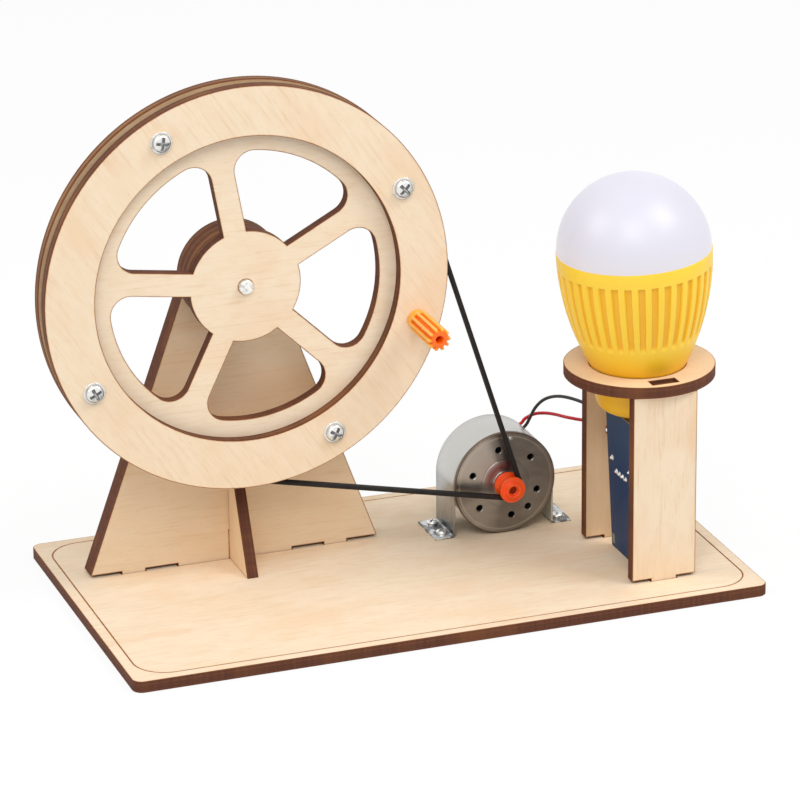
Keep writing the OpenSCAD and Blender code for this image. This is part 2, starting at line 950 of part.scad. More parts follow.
// Plastic cap in the can's open rear, with the rear bearing's boss
module motor_rear_cap() {
    front = motor_back_y - can_wall;
    color("white")
        at_motor()
            difference() {
                union() {
                    upright(front, can_wall + rear_cap_proud)
                        circle(rear_cap_r);
                    upright(front, can_wall + rear_cap_proud + rear_boss_h)
                        circle(rear_boss_r);
                }
                upright(front - cut, cut + can_wall + rear_cap_proud + rear_boss_h * 0.6)
                    circle(shaft_r + run_clear);
            }
}

// Two tags with a drop of solder that holds the wire
module motor_terminals() {
    color("peru")
        at_motor()
            for (a = tag_angles)
                rotate([0, -a, 0])
                    translate([tag_pcd_r, motor_back_y + rear_cap_proud, 0]) {
                        translate([-tag_t / 2, 0, -tag_w / 2])
                            cube([tag_t, tag_len, tag_w]);
                        along_y(tag_len)
                            cylinder(h = blob_len, r = blob_r);
                    }
}

// Grooved pulley on the shaft, with a low boss round the shaft's end
module motor_pulley() {
    groove_front = pulley_front_y + pulley_boss_t + pulley_front_t;
    color("orangered")
        at_motor()
            difference() {
                union() {
                    upright(pulley_front_y, pulley_boss_t)
                        circle(pulley_boss_r);
                    upright(pulley_front_y + pulley_boss_t, pulley_front_t)
                        circle(pulley_r);
                    upright(groove_front, pulley_groove_w)
                        circle(pulley_groove_r);
                    upright(groove_front + pulley_groove_w, pulley_back_t)
                        circle(pulley_r);
                }
                upright(pulley_front_y - cut, cut + pulley_boss_t + pulley_front_t
                        + pulley_groove_w + pulley_back_t + cut)
                    circle(shaft_r + seat_clear);
                upright(pulley_front_y - cut, cut + pulley_recess)
                    circle(pulley_recess_r);
            }
}

// Steel strap over the can, down both sides and out in two feet
module motor_strap() {
    color("silver")
        difference() {
            translate([motor_x, 0, 0])
                upright(strap_front_y, strap_w) {
                    difference() {
                        translate([0, motor_z])
                            band(strap_leg_x, strap_inner_r);
                        bar(0, 2 * strap_leg_x + 2 * cut, 0, motor_z);
                    }
                    for (s = [-1, 1]) {
                        bar(s * (strap_inner_r + strap_t / 2), strap_t, base_top, motor_z);
                        bar(s * (strap_leg_x + strap_foot / 2), strap_foot, base_top,
                            base_top + strap_t);
                    }
                }
            at_strap_screws()
                translate([0, 0, -cut])
                    cylinder(h = strap_t + 2 * cut, r = strap_screw_shank_r + seat_clear);
        }
}

module strap_screws() {
    color("silver")
        at_strap_screws()
            translate([0, 0, strap_t])
                pan_screw(strap_screw_head_r, strap_screw_head_h, strap_screw_shank_r,
                    strap_screw_len);
}

// ---- lamp stand ----

// Plain post with a tab at each end
module post_outline() {
    bar(0, post_w, shoulder_z, ring_under_z);
    bar(0, post_tab_w, 0, ring_top_z - post_tab_recess);
}

module front_post() {
    color("burlywood")
        translate([lamp_x, 0, 0])
            upright(front_post_y, ply_t)
                post_outline();
}

// The rear post also lets the two wires through
module rear_post() {
    color("burlywood")
        translate([lamp_x, 0, 0])
            upright(rear_post_y, ply_t)
                difference() {
                    post_outline();
                    translate([wire_hole_off, wire_hole_z])
                        circle(wire_hole_r);
                }
}

module lamp_ring() {
    color("burlywood")
        at_lamp(ring_under_z)
            linear_extrude(ply_t)
                difference() {
                    band(lamp_ring_r, ring_hole_r);
                    for (s = [-1, 1])
                        translate([0, s * (post_gap + ply_t) / 2])
                            square([post_tab_w + 2 * slot_clear, ply_t + 2 * slot_clear],
                                center = true);
                }
}

// ---- circuit board and socket ----

module circuit_board() {
    leaning()
        color("midnightblue")
            translate([pcb_x, lamp_y - pcb_w / 2, pcb_foot_z])
                cube([pcb_t, pcb_w, pcb_top_z - pcb_foot_z]);
}

// Chip, capacitor and diode on the socket's side, and the pads that the wires end in
module board_parts() {
    leaning() {
        color("dimgray") {
            translate([pcb_face_x, lamp_y - chip_w / 2, chip_z])
                cube([chip_t, chip_w, chip_w]);
            translate([pcb_face_x + cap_r, lamp_y - pcb_w / 2 + cap_r + cap_r / 2, cap_z])
                cylinder(h = cap_h, r = cap_r);
            translate([pcb_face_x, lamp_y + pcb_w / 2 - 2 * diode_w, cap_z])
                cube([diode_w, diode_w, diode_h]);
        }
        color("silver")
            for (z = [red_pad_z, black_pad_z])
                translate([pcb_face_x + pad_r, 0, z])
                    along_y(pad_y - pad_len)
                        cylinder(h = pad_len, r = pad_r);
    }
}

// Solder on the back: a row for the socket's pins and one for each of its two tabs
module board_joints() {
    leaning()
        color("silver") {
            for (i = [0:pin_n - 1])
                translate([pcb_x, lamp_y + (i - (pin_n - 1) / 2) * pin_pitch, socket_z - joint_r])
                    rotate([0, -90, 0])
                        cylinder(h = joint_h, r1 = joint_r, r2 = joint_r * 0.55);
            for (s = [-1, 1])
                translate([pcb_x, lamp_y + s * socket_w / 2, socket_z + tab_joint_z])
                    rotate([0, -90, 0])
                        cylinder(h = joint_h, r1 = joint_r, r2 = joint_r * 0.55);
        }
}

module usb_socket() {
    leaning()
        color("silver")
            at_lamp(socket_z)
                linear_extrude(socket_len)
                    difference() {
                        square([socket_t, socket_w], center = true);
                        square([socket_t - 2 * sheet_t, socket_w - 2 * sheet_t], center = true);
                    }
}

// White plastic foot of the socket with its tongue, and the strip that sits on the board
module socket_tongue() {
    leaning()
        color("white") {
            at_lamp(socket_z) {
                linear_extrude(socket_floor)
                    square([socket_t - 2 * sheet_t, socket_w - 2 * sheet_t], center = true);
                translate([face_gap, -tongue_w / 2, 0])
                    cube([tongue_t, tongue_w, socket_len - socket_floor]);
            }
            translate([pcb_face_x, lamp_y - socket_w / 2, socket_z])
                cube([socket_rise, socket_w, socket_len - socket_floor]);
        }
}

module red_wire() {
    color("crimson")
        tube(red_route, wire_r, wire_sides);
}

module black_wire() {
    color("black")
        tube(black_route, wire_r, wire_sides);
}

// ---- bulb ----

// Half section of the body's bulging side from the bottom of the ring up, shrunk by inset
module side_section(inset, z0, z1) {
    intersection() {
        translate([bulb_r - bulb_side_r, bulb_rim_z])
            circle(bulb_side_r - inset, $fn = 180);
        translate([0, z0])
            square([bulb_r, z1 - z0]);
    }
}

// Half section of the neck, with a round lower edge
module neck_section(inset, z0) {
    r = neck_r - inset;
    edge = neck_corner_r;
    translate([0, z0 + edge])
        square([r, ring_top_z - z0 - edge]);
    translate([0, z0])
        square([r - edge, edge + cut]);
    intersection() {
        translate([r - edge, z0 + edge])
            circle(edge);
        translate([0, z0])
            square([r, edge]);
    }
}

// Yellow body: hollow cup with a neck, flutes in its side and a ledge for the lamp board
module bulb_body() {
    flute_a = 360 / flute_n * flute_share;
    ledge_z = bulb_rim_z - ledge_drop;
    leaning()
        color("gold")
            difference() {
                at_lamp(0)
                    rotate_extrude() {
                        side_section(0, ring_under_z, bulb_rim_z);
                        neck_section(0, neck_z);
                    }
                at_lamp(0)
                    rotate_extrude() {
                        side_section(bulb_wall + ledge_w, ring_under_z, ledge_z + cut / 2);
                        side_section(bulb_wall, ledge_z, bulb_rim_z + cut);
                        neck_section(bulb_wall, neck_z + floor_t);
                    }
                at_lamp(0)
                    for (i = [0:flute_n - 1])
                        rotate(360 * i / flute_n)
                            rotate_extrude(angle = flute_a)
                                difference() {
                                    translate([0, ring_top_z + flute_bottom])
                                        square([bulb_r + cut,
                                            bulb_h - flute_bottom - flute_top]);
                                    side_section(flute_depth, ring_top_z, bulb_rim_z);
                                }
                at_lamp(neck_z - cut)
                    linear_extrude(floor_t + 2 * cut)
                        square([plug_t + 2 * seat_clear, plug_w + 2 * seat_clear], center = true);
            }
}

// Frosted half ball on the body's rim, with a skirt that stands on the lamp board
module bulb_dome() {
    r = bulb_r - dome_inset;
    skirt = ledge_drop - led_board_t;
    skirt_r = bulb_r - bulb_side_r + sqrt(pow(bulb_side_r - bulb_wall, 2) - pow(skirt, 2))
        - seat_clear;
    leaning()
        color("white", 0.8)
            at_lamp(bulb_rim_z)
                rotate_extrude($fn = 96) {
                    intersection() {
                        difference() {
                            circle(r);
                            circle(r - dome_wall);
                        }
                        square(r);
                    }
                    translate([skirt_r - dome_wall, 0])
                        square([r - skirt_r + dome_wall / 2, dome_wall]);
                    translate([skirt_r - dome_wall, -skirt])
                        square([dome_wall, skirt + dome_wall]);
                }
}

module led_board() {
    leaning()
        color("whitesmoke")
            at_lamp(bulb_rim_z - ledge_drop)
                cylinder(h = led_board_t, r = bulb_r - bulb_wall - led_board_play);
}

// Ring of light-emitting chips on the lamp board
module led_chips() {
    leaning()
        color("khaki")
            at_lamp(bulb_rim_z - ledge_drop + led_board_t)
                for (i = [0:led_n - 1])
                    rotate(360 * i / led_n)
                        translate([bulb_r * led_ring_share - led_side / 2, -led_side / 2, 0])
                            cube([led_side, led_side, led_t]);
}

module usb_plug() {
    leaning()
        color("silver")
            at_lamp(neck_z - plug_len)
                linear_extrude(plug_len + floor_t)
                    difference() {
                        square([plug_t, plug_w], center = true);
                        square([plug_t - 2 * sheet_t, plug_w - 2 * sheet_t], center = true);
                    }
}

// Plastic in the plug's far half, which leaves the near half to the socket's tongue
module plug_insert() {
    leaning()
        color("white")
            at_lamp(neck_z - plug_len)
                translate([sheet_t - plug_t / 2, sheet_t - plug_w / 2, 0])
                    cube([insert_t, plug_w - 2 * sheet_t, plug_len + floor_t]);
}

base_board();
stand_front_plate();
stand_rear_plate();
stand_brace();
spacer_front();
spacer_middle();
spacer_rear();
wheel_front_ring();
wheel_spoke_disc();
wheel_back_ring();
ring_screws();
ring_nuts();
wheel_axle();
hub_bush();
axle_collar();
crank_knob();
knob_washer();
knob_screw();
drive_belt();
motor_front_plate();
motor_can();
motor_bearing();
motor_magnets();
motor_rotor();
motor_shaft();
motor_rear_cap();
motor_terminals();
motor_pulley();
motor_strap();
strap_screws();
front_post();
rear_post();
lamp_ring();
circuit_board();
board_parts();
board_joints();
usb_socket();
socket_tongue();
red_wire();
black_wire();
bulb_body();
bulb_dome();
led_board();
led_chips();
usb_plug();
plug_insert();
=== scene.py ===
import math

import bpy
import numpy as np
from mathutils import Matrix, Vector
from mathutils.geometry import tessellate_polygon


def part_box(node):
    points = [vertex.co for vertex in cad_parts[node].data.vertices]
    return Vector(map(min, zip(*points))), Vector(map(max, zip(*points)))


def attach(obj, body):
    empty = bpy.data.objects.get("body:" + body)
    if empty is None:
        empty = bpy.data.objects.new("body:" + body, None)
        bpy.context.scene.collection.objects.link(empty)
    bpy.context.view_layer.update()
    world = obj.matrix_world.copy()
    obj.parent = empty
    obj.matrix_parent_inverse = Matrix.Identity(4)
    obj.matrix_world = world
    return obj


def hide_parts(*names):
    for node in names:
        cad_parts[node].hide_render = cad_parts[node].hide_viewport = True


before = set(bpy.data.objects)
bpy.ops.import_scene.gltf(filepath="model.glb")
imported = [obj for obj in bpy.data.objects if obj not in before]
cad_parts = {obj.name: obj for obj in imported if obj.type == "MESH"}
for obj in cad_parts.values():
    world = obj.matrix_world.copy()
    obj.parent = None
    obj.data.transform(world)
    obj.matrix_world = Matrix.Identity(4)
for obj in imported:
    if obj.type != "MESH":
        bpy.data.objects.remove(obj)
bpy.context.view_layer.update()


# Camera
# It stands where the photograph was taken from: in front, to the left and a little above,
# with a long lens. Sizes in this file are in millimetres and become metres by MM.
MM = 0.001
CAMERA_AT = Vector((-409.875, -1148.829, 516.937)) * MM
azimuth, elevation, roll = (math.radians(a) for a in (-19.711, 20.727, -0.607))
back = Vector((math.sin(azimuth) * math.cos(elevation),
               -math.cos(azimuth) * math.cos(elevation), math.sin(elevation)))
level = (-back).cross(Vector((0, 0, 1))).normalized()
upward = level.cross(-back)


def in_scene(name, data):
    made = bpy.data.objects.new(name, data)
    bpy.context.scene.collection.objects.link(made)
    return made


camera = in_scene("camera", bpy.data.cameras.new("camera"))
camera.data.sensor_width = 36
camera.data.lens = 202.55
camera.data.shift_x, camera.data.shift_y = 0.00129, -0.00135
camera.matrix_world = Matrix.Translation(CAMERA_AT) @ Matrix((
    level * math.cos(roll) + upward * math.sin(roll),
    upward * math.cos(roll) - level * math.sin(roll), back)).transposed().to_4x4()
bpy.context.scene.camera = camera
bpy.context.scene.view_settings.view_transform = "Standard"


# Floor and studio light
# A white sweep under three large soft lamps. What the camera, metal and glass see of the floor
# and of the room is white, and the floor keeps a faint shadow.
class Wire:
    """A socket that Python's operators can be written on."""

    def __init__(self, bench, socket):
        self.bench, self.socket = bench, socket

    def __add__(self, other):
        return self.bench.math("ADD", self, other)

    def __sub__(self, other):
        return self.bench.math("SUBTRACT", self, other)

    def __rsub__(self, other):
        return self.bench.math("SUBTRACT", other, self)

    def __mul__(self, other):
        return self.bench.math("MULTIPLY", self, other)

    def __truediv__(self, other):
        return self.bench.math("DIVIDE", self, other)

    __radd__, __rmul__ = __add__, __mul__


class Bench:
    """A node tree, and the one method that puts nodes on it."""

    def __init__(self, tree):
        self.tree = tree
        tree.nodes.clear()

    def node(self, kind, settings=(), values=(), out=0):
        """Adds a node and gives one of its outputs."""
        made = self.tree.nodes.new(kind)
        for name, value in dict(settings).items():
            setattr(made, name, value)
        for name, value in dict(values).items():
            if isinstance(value, Wire):
                self.tree.links.new(value.socket, made.inputs[name])
            else:
                made.inputs[name].default_value = value
        return Wire(self, made.outputs[out]) if made.outputs else None

    def math(self, operation, *values):
        return self.node("ShaderNodeMath", {"operation": operation}, enumerate(values))

    def vector_math(self, operation, *values, out=0):
        return self.node("ShaderNodeVectorMath", {"operation": operation}, enumerate(values), out)

    def rise(self, value, start, end):
        """0 at start and before it, 1 at end and beyond it, and smooth between."""
        return self.node("ShaderNodeMapRange", {"interpolation_type": "SMOOTHSTEP"},
                         {"Value": value, "From Min": start, "From Max": end})

    def band(self, value, start, full, fade, end):
        """1 from full to fade, and 0 before start and after end."""
        return self.rise(value, start, full) * self.rise(value, end, fade)

    def towards(self, angle, way):
        """1 where the angle is way, and -1 opposite. Both are in radians."""
        return self.math("COSINE", angle - way)

    def beam(self, angle, way, power):
        """A lobe round a way, narrower for a higher power."""
        return self.math("POWER", self.math("MAXIMUM", self.towards(angle, way), 0), power)

    def mix(self, share, first, second):
        """first where share is 0 and second where it is 1, as colours."""
        return self.node("ShaderNodeMix", {"data_type": "RGBA"},
                         {0: share, 6: first, 7: second}, out=2)

    def coats(self, colour, *coats):
        """Paints coats on a colour. Each is (value, start, end, share, tint), and the tint
        comes up to its share as the value goes from start to end."""
        for value, start, end, share, tint in coats:
            colour = self.mix(self.rise(value, start, end) * share, colour, tint)
        return colour

    def xyz(self, x=0, y=0, z=0):
        return self.node("ShaderNodeCombineXYZ", {}, {"X": x, "Y": y, "Z": z})

    def part(self, vector, axis):
        return self.node("ShaderNodeSeparateXYZ", {}, {"Vector": vector}, out=axis)

    def mark(self, name, out="Fac"):
        """What the mesh holds for each of its points under a name."""
        return self.node("ShaderNodeAttribute", {"attribute_name": name}, out=out)

    def place(self):
        return self.node("ShaderNodeTexCoord", out="Object")

    def grit(self, vector, scale, detail=2, turn=(0, 0, 0)):
        """Soft noise around 0.5. A scale for each axis draws it out, after a turn."""
        if isinstance(scale, tuple):
            vector = self.node("ShaderNodeMapping", {}, {
                "Vector": vector, "Rotation": turn, "Scale": scale})
            scale = 1
        return self.node("ShaderNodeTexNoise", {},
                         {"Vector": vector, "Scale": scale, "Detail": detail})

    def surface(self, colour, roughness, height, depth, **shader):
        """The material's end: a Principled surface, its bump up to depth millimetres."""
        bump = self.node("ShaderNodeBump", {}, {"Height": height, "Distance": depth * MM})
        values = {"Base Color": colour, "Roughness": roughness, "Normal": bump}
        values |= {name.replace("_", " "): value for name, value in shader.items()}
        self.node("ShaderNodeOutputMaterial", {},
                  {"Surface": self.node("ShaderNodeBsdfPrincipled", {}, values)})


def srgb(*levels):
    """A colour from the 0 to 255 levels of a screen."""
    return (*[((c / 255 + 0.055) / 1.055) ** 2.4 if c > 10 else c / 3295 for c in levels], 1)


def new_material(name):
    material = bpy.data.materials.new(name)
    material.use_nodes = True
    return material, Bench(material.node_tree)


def seen(bench):
    """1 for rays that show the surroundings: camera, mirror and glass rays."""
    path = {name: bench.node("ShaderNodeLightPath", out=name)
            for name in ("Is Camera Ray", "Is Glossy Ray", "Is Transmission Ray")}
    return bench.math("MINIMUM", sum(path.values(), path.pop("Is Camera Ray")), 1)


WHITE = (1, 1, 1, 1)
FLOOR_PAINT, FLOOR_GLOW, SHADOW_LEFT = (0.8, 0.8, 0.8, 1), 1.04, 0.16
floor_paint, bench = new_material("floor_paint")
whole = bench.node("ShaderNodeBsdfDiffuse", {}, {"Color": FLOOR_PAINT})
glow = bench.node("ShaderNodeEmission", {}, {"Color": WHITE, "Strength": FLOOR_GLOW})
shown = seen(bench) * (1 - SHADOW_LEFT)
bench.node("ShaderNodeOutputMaterial", {}, {
    "Surface": bench.node("ShaderNodeMixShader", {}, {0: shown, 1: whole, 2: glow})})
REACH = 6
floor_mesh = bpy.data.meshes.new("floor")
floor_mesh.from_pydata([(x, y, -0.1 * MM) for x, y in
                        ((-REACH, -REACH), (REACH, -REACH), (REACH, REACH), (-REACH, REACH))],
                       [], [(0, 1, 2, 3)])
floor_mesh.materials.append(floor_paint)
floor = in_scene("floor", floor_mesh)

world = bpy.data.worlds.new("room")
world.use_nodes = True
bpy.context.scene.world = world
bench = Bench(world.node_tree)
ROOM_LIGHT = 0.46
level_seen = seen(bench) * (1 - ROOM_LIGHT) + ROOM_LIGHT
bench.node("ShaderNodeOutputWorld", {}, {
    "Surface": bench.node("ShaderNodeBackground", {}, {"Color": WHITE, "Strength": level_seen})})

AIM = Vector((0, 0, 60)) * MM
for name, at, size, power in (("lamp_front", (-400, -950, 1150), 800, 7.7),
                              ("lamp_right", (600, -440, 960), 520, 5.2),
                              ("lamp_left", (-820, 60, 780), 520, 2.8)):
    lamp = in_scene(name, bpy.data.lights.new(name, "AREA"))
    lamp.data.energy, lamp.data.size = power, size * MM
    lamp.location = Vector(at) * MM
    lamp.rotation_euler = (AIM - lamp.location).to_track_quat("-Z", "Y").to_euler()


# Base board
# One sheet of birch plywood, cut by laser, so its edge is burnt brown. A thin border line is
# scored round its face, and slots hold the tabs of the stand and of the two posts.
def cad(node):
    """Lowest and highest corner of a CAD node, in millimetres."""
    low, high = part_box(node)
    return np.array(low) / MM, np.array(high) / MM


def smooth(mesh, sharp):
    """Smooth shading, but for the edges that are sharper than an angle in degrees."""
    mesh.shade_smooth()
    mesh.set_sharp_from_angle(angle=math.radians(sharp))


def piece(name, shells, materials, sharp=32):
    """One mesh of closed shells, their faces outwards. A shell is its points, its faces and
    the material slot of all or each of them."""
    points, faces, slots = [], [], []
    for shell_points, shell_faces, slot in shells:
        p = np.array(shell_points, float)
        volume = sum(np.dot(p[f[0]], np.cross(p[f[k]], p[f[k + 1]]))
                     for f in shell_faces for k in range(1, len(f) - 1))
        faces += [[i + len(points) for i in (f if volume > 0 else f[::-1])]
                  for f in shell_faces]
        points += (p * MM).tolist()
        slots += list(slot) if np.ndim(slot) else [slot] * len(shell_faces)
    mesh = bpy.data.meshes.new(name)
    mesh.from_pydata(points, [], faces)
    for material in materials:
        mesh.materials.append(material)
    mesh.polygons.foreach_set("material_index", slots)
    smooth(mesh, sharp)
    return in_scene(name, mesh)


def settle(made, body, slot, *replaced):
    """Says what a piece rides on and hides the nodes it stands for. The slot, for its finish, is
    not used.
    """
    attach(made, body)
    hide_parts(*replaced)


def arc(centre, radius, start, end, steps):
    """Points on an arc, both ends included. Angles are in degrees."""
    angles = np.radians(np.linspace(start, end, steps + 1))
    return np.array(centre) + radius * np.column_stack((np.cos(angles), np.sin(angles)))


def circle(centre, radius, steps=96):
    return arc(centre, radius, 0, 360, steps)[:-1]


def box_loop(centre, width, height, radius=0.0, steps=6):
    """A rectangle's outline, its corners round where radius says so."""
    x, y = width / 2 - radius, height / 2 - radius
    corners = [(x, y, 0), (-x, y, 90), (-x, -y, 180), (x, -y, 270)]
    if not radius:
        return np.array(centre) + np.array([c[:2] for c in corners])
    return np.vstack([arc((centre[0] + cx, centre[1] + cy), radius, a, a + 90, steps)
                      for cx, cy, a in corners])


def inset(loop, width):
    """The loop moved into the material by width, corners mitred."""
    ahead = np.roll(loop, -1, 0) - loop
    ahead /= np.linalg.norm(ahead, axis=1)[:, None]
    behind = np.roll(ahead, 1, 0)
    normals = [np.column_stack((d[:, 1], -d[:, 0])) for d in (behind, ahead)]
    lean = 1 + np.sum(normals[0] * normals[1], axis=1)
    return loop - width * (normals[0] + normals[1]) / np.maximum(lean, 0.25)[:, None]


PLANES = {"top": ((1, 0, 0), (0, 1, 0)), "front": ((1, 0, 0), (0, 0, 1)),
          "side": ((0, 1, 0), (0, 0, 1))}
FRINGE, GLOW, BEVEL = 0.5, 0.3, 0.12
SCORE_BURN, SHEETS_APART = 0.7, 37
sheets_cut = 0


def cut_sheet(name, plane, face_at, thickness, outer, holes, materials, grain=0,
              score=None, bevel=BEVEL, warmth=0.0, toasted=0.0):
    """A flat sheet cut along loops. plane says where its face looks and face_at where that
    face lies. Points carry how burnt they are, their depth in the sheet and their place on
    the wood's grain. score is a shallow groove: its outer and inner loop and its depth."""
    global sheets_cut
    sheets_cut += 1
    right, up = (np.array(v, float) for v in PLANES[plane])
    out = np.cross(right, up)
    loops = [np.array(outer, float)] + [np.array(h, float)[::-1] for h in holes]
    flat, depth, burn, faces, slots = [], [], [], [], []

    def add_ring(loop, at, burnt):
        start = len(flat)
        flat.extend(loop)
        depth.extend([at] * len(loop))
        burn.extend([burnt] * len(loop))
        return list(range(start, start + len(loop)))

    def wall(a, b, slot):
        n = len(a)
        for k in range(n):
            faces.append((a[k], a[(k + 1) % n], b[(k + 1) % n], b[k]))
            slots.append(slot)

    def fill(rings, front):
        groups = [[Vector((*flat[i], 0)) for i in ring] for ring in rings]
        order = [i for ring in rings for i in ring]
        for triangle in tessellate_polygon(groups):
            a, b, c = (order[i] for i in triangle)
            turn = np.cross(flat[b] - flat[a], flat[c] - flat[a])
            faces.append((a, b, c) if (turn > 0) == front else (a, c, b))
            slots.append(0)

    caps = ([], [])
    for loop in loops:
        steps = [(FRINGE, 0, 0), (bevel, 0, 1), (0, bevel, 1), (0, thickness - bevel, 1),
                 (bevel, thickness, 1), (FRINGE, thickness, 0)]
        rings = [add_ring(inset(loop, w), d, b) for w, d, b in steps]
        for k, (a, b) in enumerate(zip(rings, rings[1:])):
            wall(b, a, 0 if k in (0, 4) else 1)
        caps[0].append(rings[0])
        caps[1].append(rings[-1])
    fill(caps[1], False)
    if score is None:
        fill(caps[0], True)
    else:
        wide, narrow, deep = score
        edges = [add_ring(loop, at, burnt) for loop, at, burnt in (
            (inset(wide, -GLOW), 0, 0), (wide, 0, SCORE_BURN), (wide, deep, 1),
            (narrow, deep, 1), (narrow, 0, SCORE_BURN), (inset(narrow, GLOW), 0, 0))]
        fill([caps[0][0], edges[0]], True)
        fill([edges[-1]] + caps[0][1:], True)
        for a, b in zip(edges, edges[1:]):
            wall(a, b, 0)
    flat, depth = np.array(flat), np.array(depth)
    points = flat[:, :1] * right + flat[:, 1:] * up + face_at * np.abs(out) - np.outer(depth, out)
    made = piece(name, [(points, faces, slots)], materials)
    slope = math.radians(grain)
    along = flat @ (math.cos(slope), math.sin(slope))
    across = flat @ (-math.sin(slope), math.cos(slope))
    sheet = np.full(len(flat), SHEETS_APART * sheets_cut)
    # Each sheet carries one amount of painted shade, which the birch finish turns into a darker
    # colour.
    numbers = {"grain": np.column_stack((along, across, sheet)) * MM,
               "burn": np.array(burn, float), "depth": depth / thickness,
               "warmth": np.full(len(flat), warmth), "toasted": np.full(len(flat), toasted)}
    for label, values in numbers.items():
        kind, field = ("FLOAT_VECTOR", "vector") if label == "grain" else ("FLOAT", "value")
        made.data.attributes.new(label, kind, "POINT").data.foreach_set(
            field, values.astype(np.float32).ravel())
    return made


BIRCH, BIRCH_SHADED, BIRCH_DEEP_SHADE = srgb(245, 225, 198), srgb(238, 210, 174), srgb(196, 158, 118)
BIRCH_BAND, BIRCH_LINE = srgb(236, 208, 172), srgb(214, 176, 130)
BIRCH_BLUSH, BIRCH_STAIN = srgb(238, 194, 146), srgb(224, 162, 98)
TOAST, SCORCH_RIM = srgb(206, 146, 84), srgb(140, 82, 42)
birch, bench = new_material("birch")
grain, warmth = bench.mark("grain", "Vector"), bench.mark("warmth")
bands, clouds, lines, stains = (
    bench.grit(grain, (along, across, 30), 3)
    for along, across in ((12, 90), (38, 60), (60, 1100), (16, 70)))
curls = bench.grit(grain, (170, 420, 30), 2, (0, 0, 0.35))
flecks = bench.grit(grain, (300, 2400, 30), 1)
singe = bench.mark("burn") + (lines - 0.5) * 0.5
# Painted shade: each sheet's amount takes the birch towards a warmer shaded copy, and past 1
# towards a deeper one, for the shadow and warm bounced light that the part gets.
wood = bench.coats(
    bench.mix(warmth - 1, bench.mix(warmth, BIRCH, BIRCH_SHADED), BIRCH_DEEP_SHADE),
    (bands, 0.42, 0.75, 0.30, BIRCH_BAND), (clouds, 0.46, 0.72, 0.30, BIRCH_BLUSH),
    (curls, 0.42, 0.72, 0.34, BIRCH_BAND), (lines, 0.5, 0.78, 0.26, BIRCH_LINE),
    (flecks, 0.62, 0.76, 0.26, BIRCH_LINE), (stains, 0.64, 0.80, 0.30, BIRCH_STAIN),
    (singe, 0.05, 0.95, 0.7, TOAST), (singe, 0.65, 1.05, 0.8, SCORCH_RIM))
bench.surface(wood, 0.62 + (bands - 0.5) * 0.2, lines + curls * 0.6, 0.02,
              Specular_IOR_Level=0.3)

SCORCH, SCORCH_PALE, SCORCH_DARK = srgb(98, 56, 40), srgb(140, 88, 50), srgb(62, 36, 26)
SCORCH_CORE = srgb(172, 128, 86)
scorched, bench = new_material("scorched_edge")
grain, depth = bench.mark("grain", "Vector"), bench.mark("depth")
streaks, soot = (bench.grit(grain, (fine, fine, 30), 3) for fine in (900, 45))
plies = bench.grit(bench.xyz(depth * 3.1, soot * 0.6), 2.2, 1)
off_middle = bench.math("ABSOLUTE", depth - 0.5) * 2
wood = bench.coats(SCORCH, (streaks, 0.35, 0.75, 0.28, SCORCH_PALE),
                   (plies, 0.42, 0.6, 0.45, SCORCH_DARK), (soot, 0.48, 0.72, 0.45, SCORCH_PALE))
core = bench.rise(off_middle, 0.7, 0.15) * bench.mark("toasted")
wood = bench.mix(core * (0.35 + bench.rise(soot, 0.4, 0.65) * 0.4), wood, SCORCH_CORE)
wood = bench.coats(wood, (off_middle, 0.90, 1.0, 0.6, SCORCH_RIM))
bench.surface(wood, 0.75, streaks, 0.06, Specular_IOR_Level=0.25)

board_low, board_high = cad("base_board")
board_width, board_depth, board_top = board_high - board_low
BOARD_CORNER, SLOT_PLAY = 3, 0.05
BORDER_INSET, BORDER_WIDTH, BORDER_DEPTH, BORDER_CORNER = 3.2, 0.4, 0.25, 10
stand_low, stand_high = cad("stand_front_plate")
PLY = stand_high[1] - stand_low[1]
stand_x = (stand_low[0] + stand_high[0]) / 2
STAND_TABS = (-31.25, 7.3), (0, 35.4), (31.25, 7.3)
post_low, post_high = cad("front_post")
rear_post_low = cad("rear_post")[0]
lamp_x, POST_TAB = (post_low[0] + post_high[0]) / 2, 8


def plywood(name, body, node, plane, face_at, outer, holes=(), **looks):
    """A piece of the plywood. Its looks are what cut_sheet takes beside its shape."""
    settle(cut_sheet(name, plane, face_at, PLY, outer, holes, [birch, scorched], **looks),
           body, "plywood", node)


stand_slots = [box_loop((stand_x + at, stand_high[1]), wide + 2 * SLOT_PLAY,
                        2 * (PLY + SLOT_PLAY)) for at, wide in STAND_TABS]
post_slots = [box_loop((lamp_x, low + PLY / 2), POST_TAB + 2 * SLOT_PLAY, PLY + 2 * SLOT_PLAY)
              for low in (post_low[1], rear_post_low[1])]
border = [box_loop((0, 0), board_width - 2 * w, board_depth - 2 * w, r, 16)
          for w, r in ((BORDER_INSET, BORDER_CORNER),
                       (BORDER_INSET + BORDER_WIDTH, BORDER_CORNER - BORDER_WIDTH))]
plywood("board", "stand", "base_board", "top", board_top,
        box_loop((0, 0), board_width, board_depth, BOARD_CORNER, 10), stand_slots + post_slots,
        score=(*border, BORDER_DEPTH))


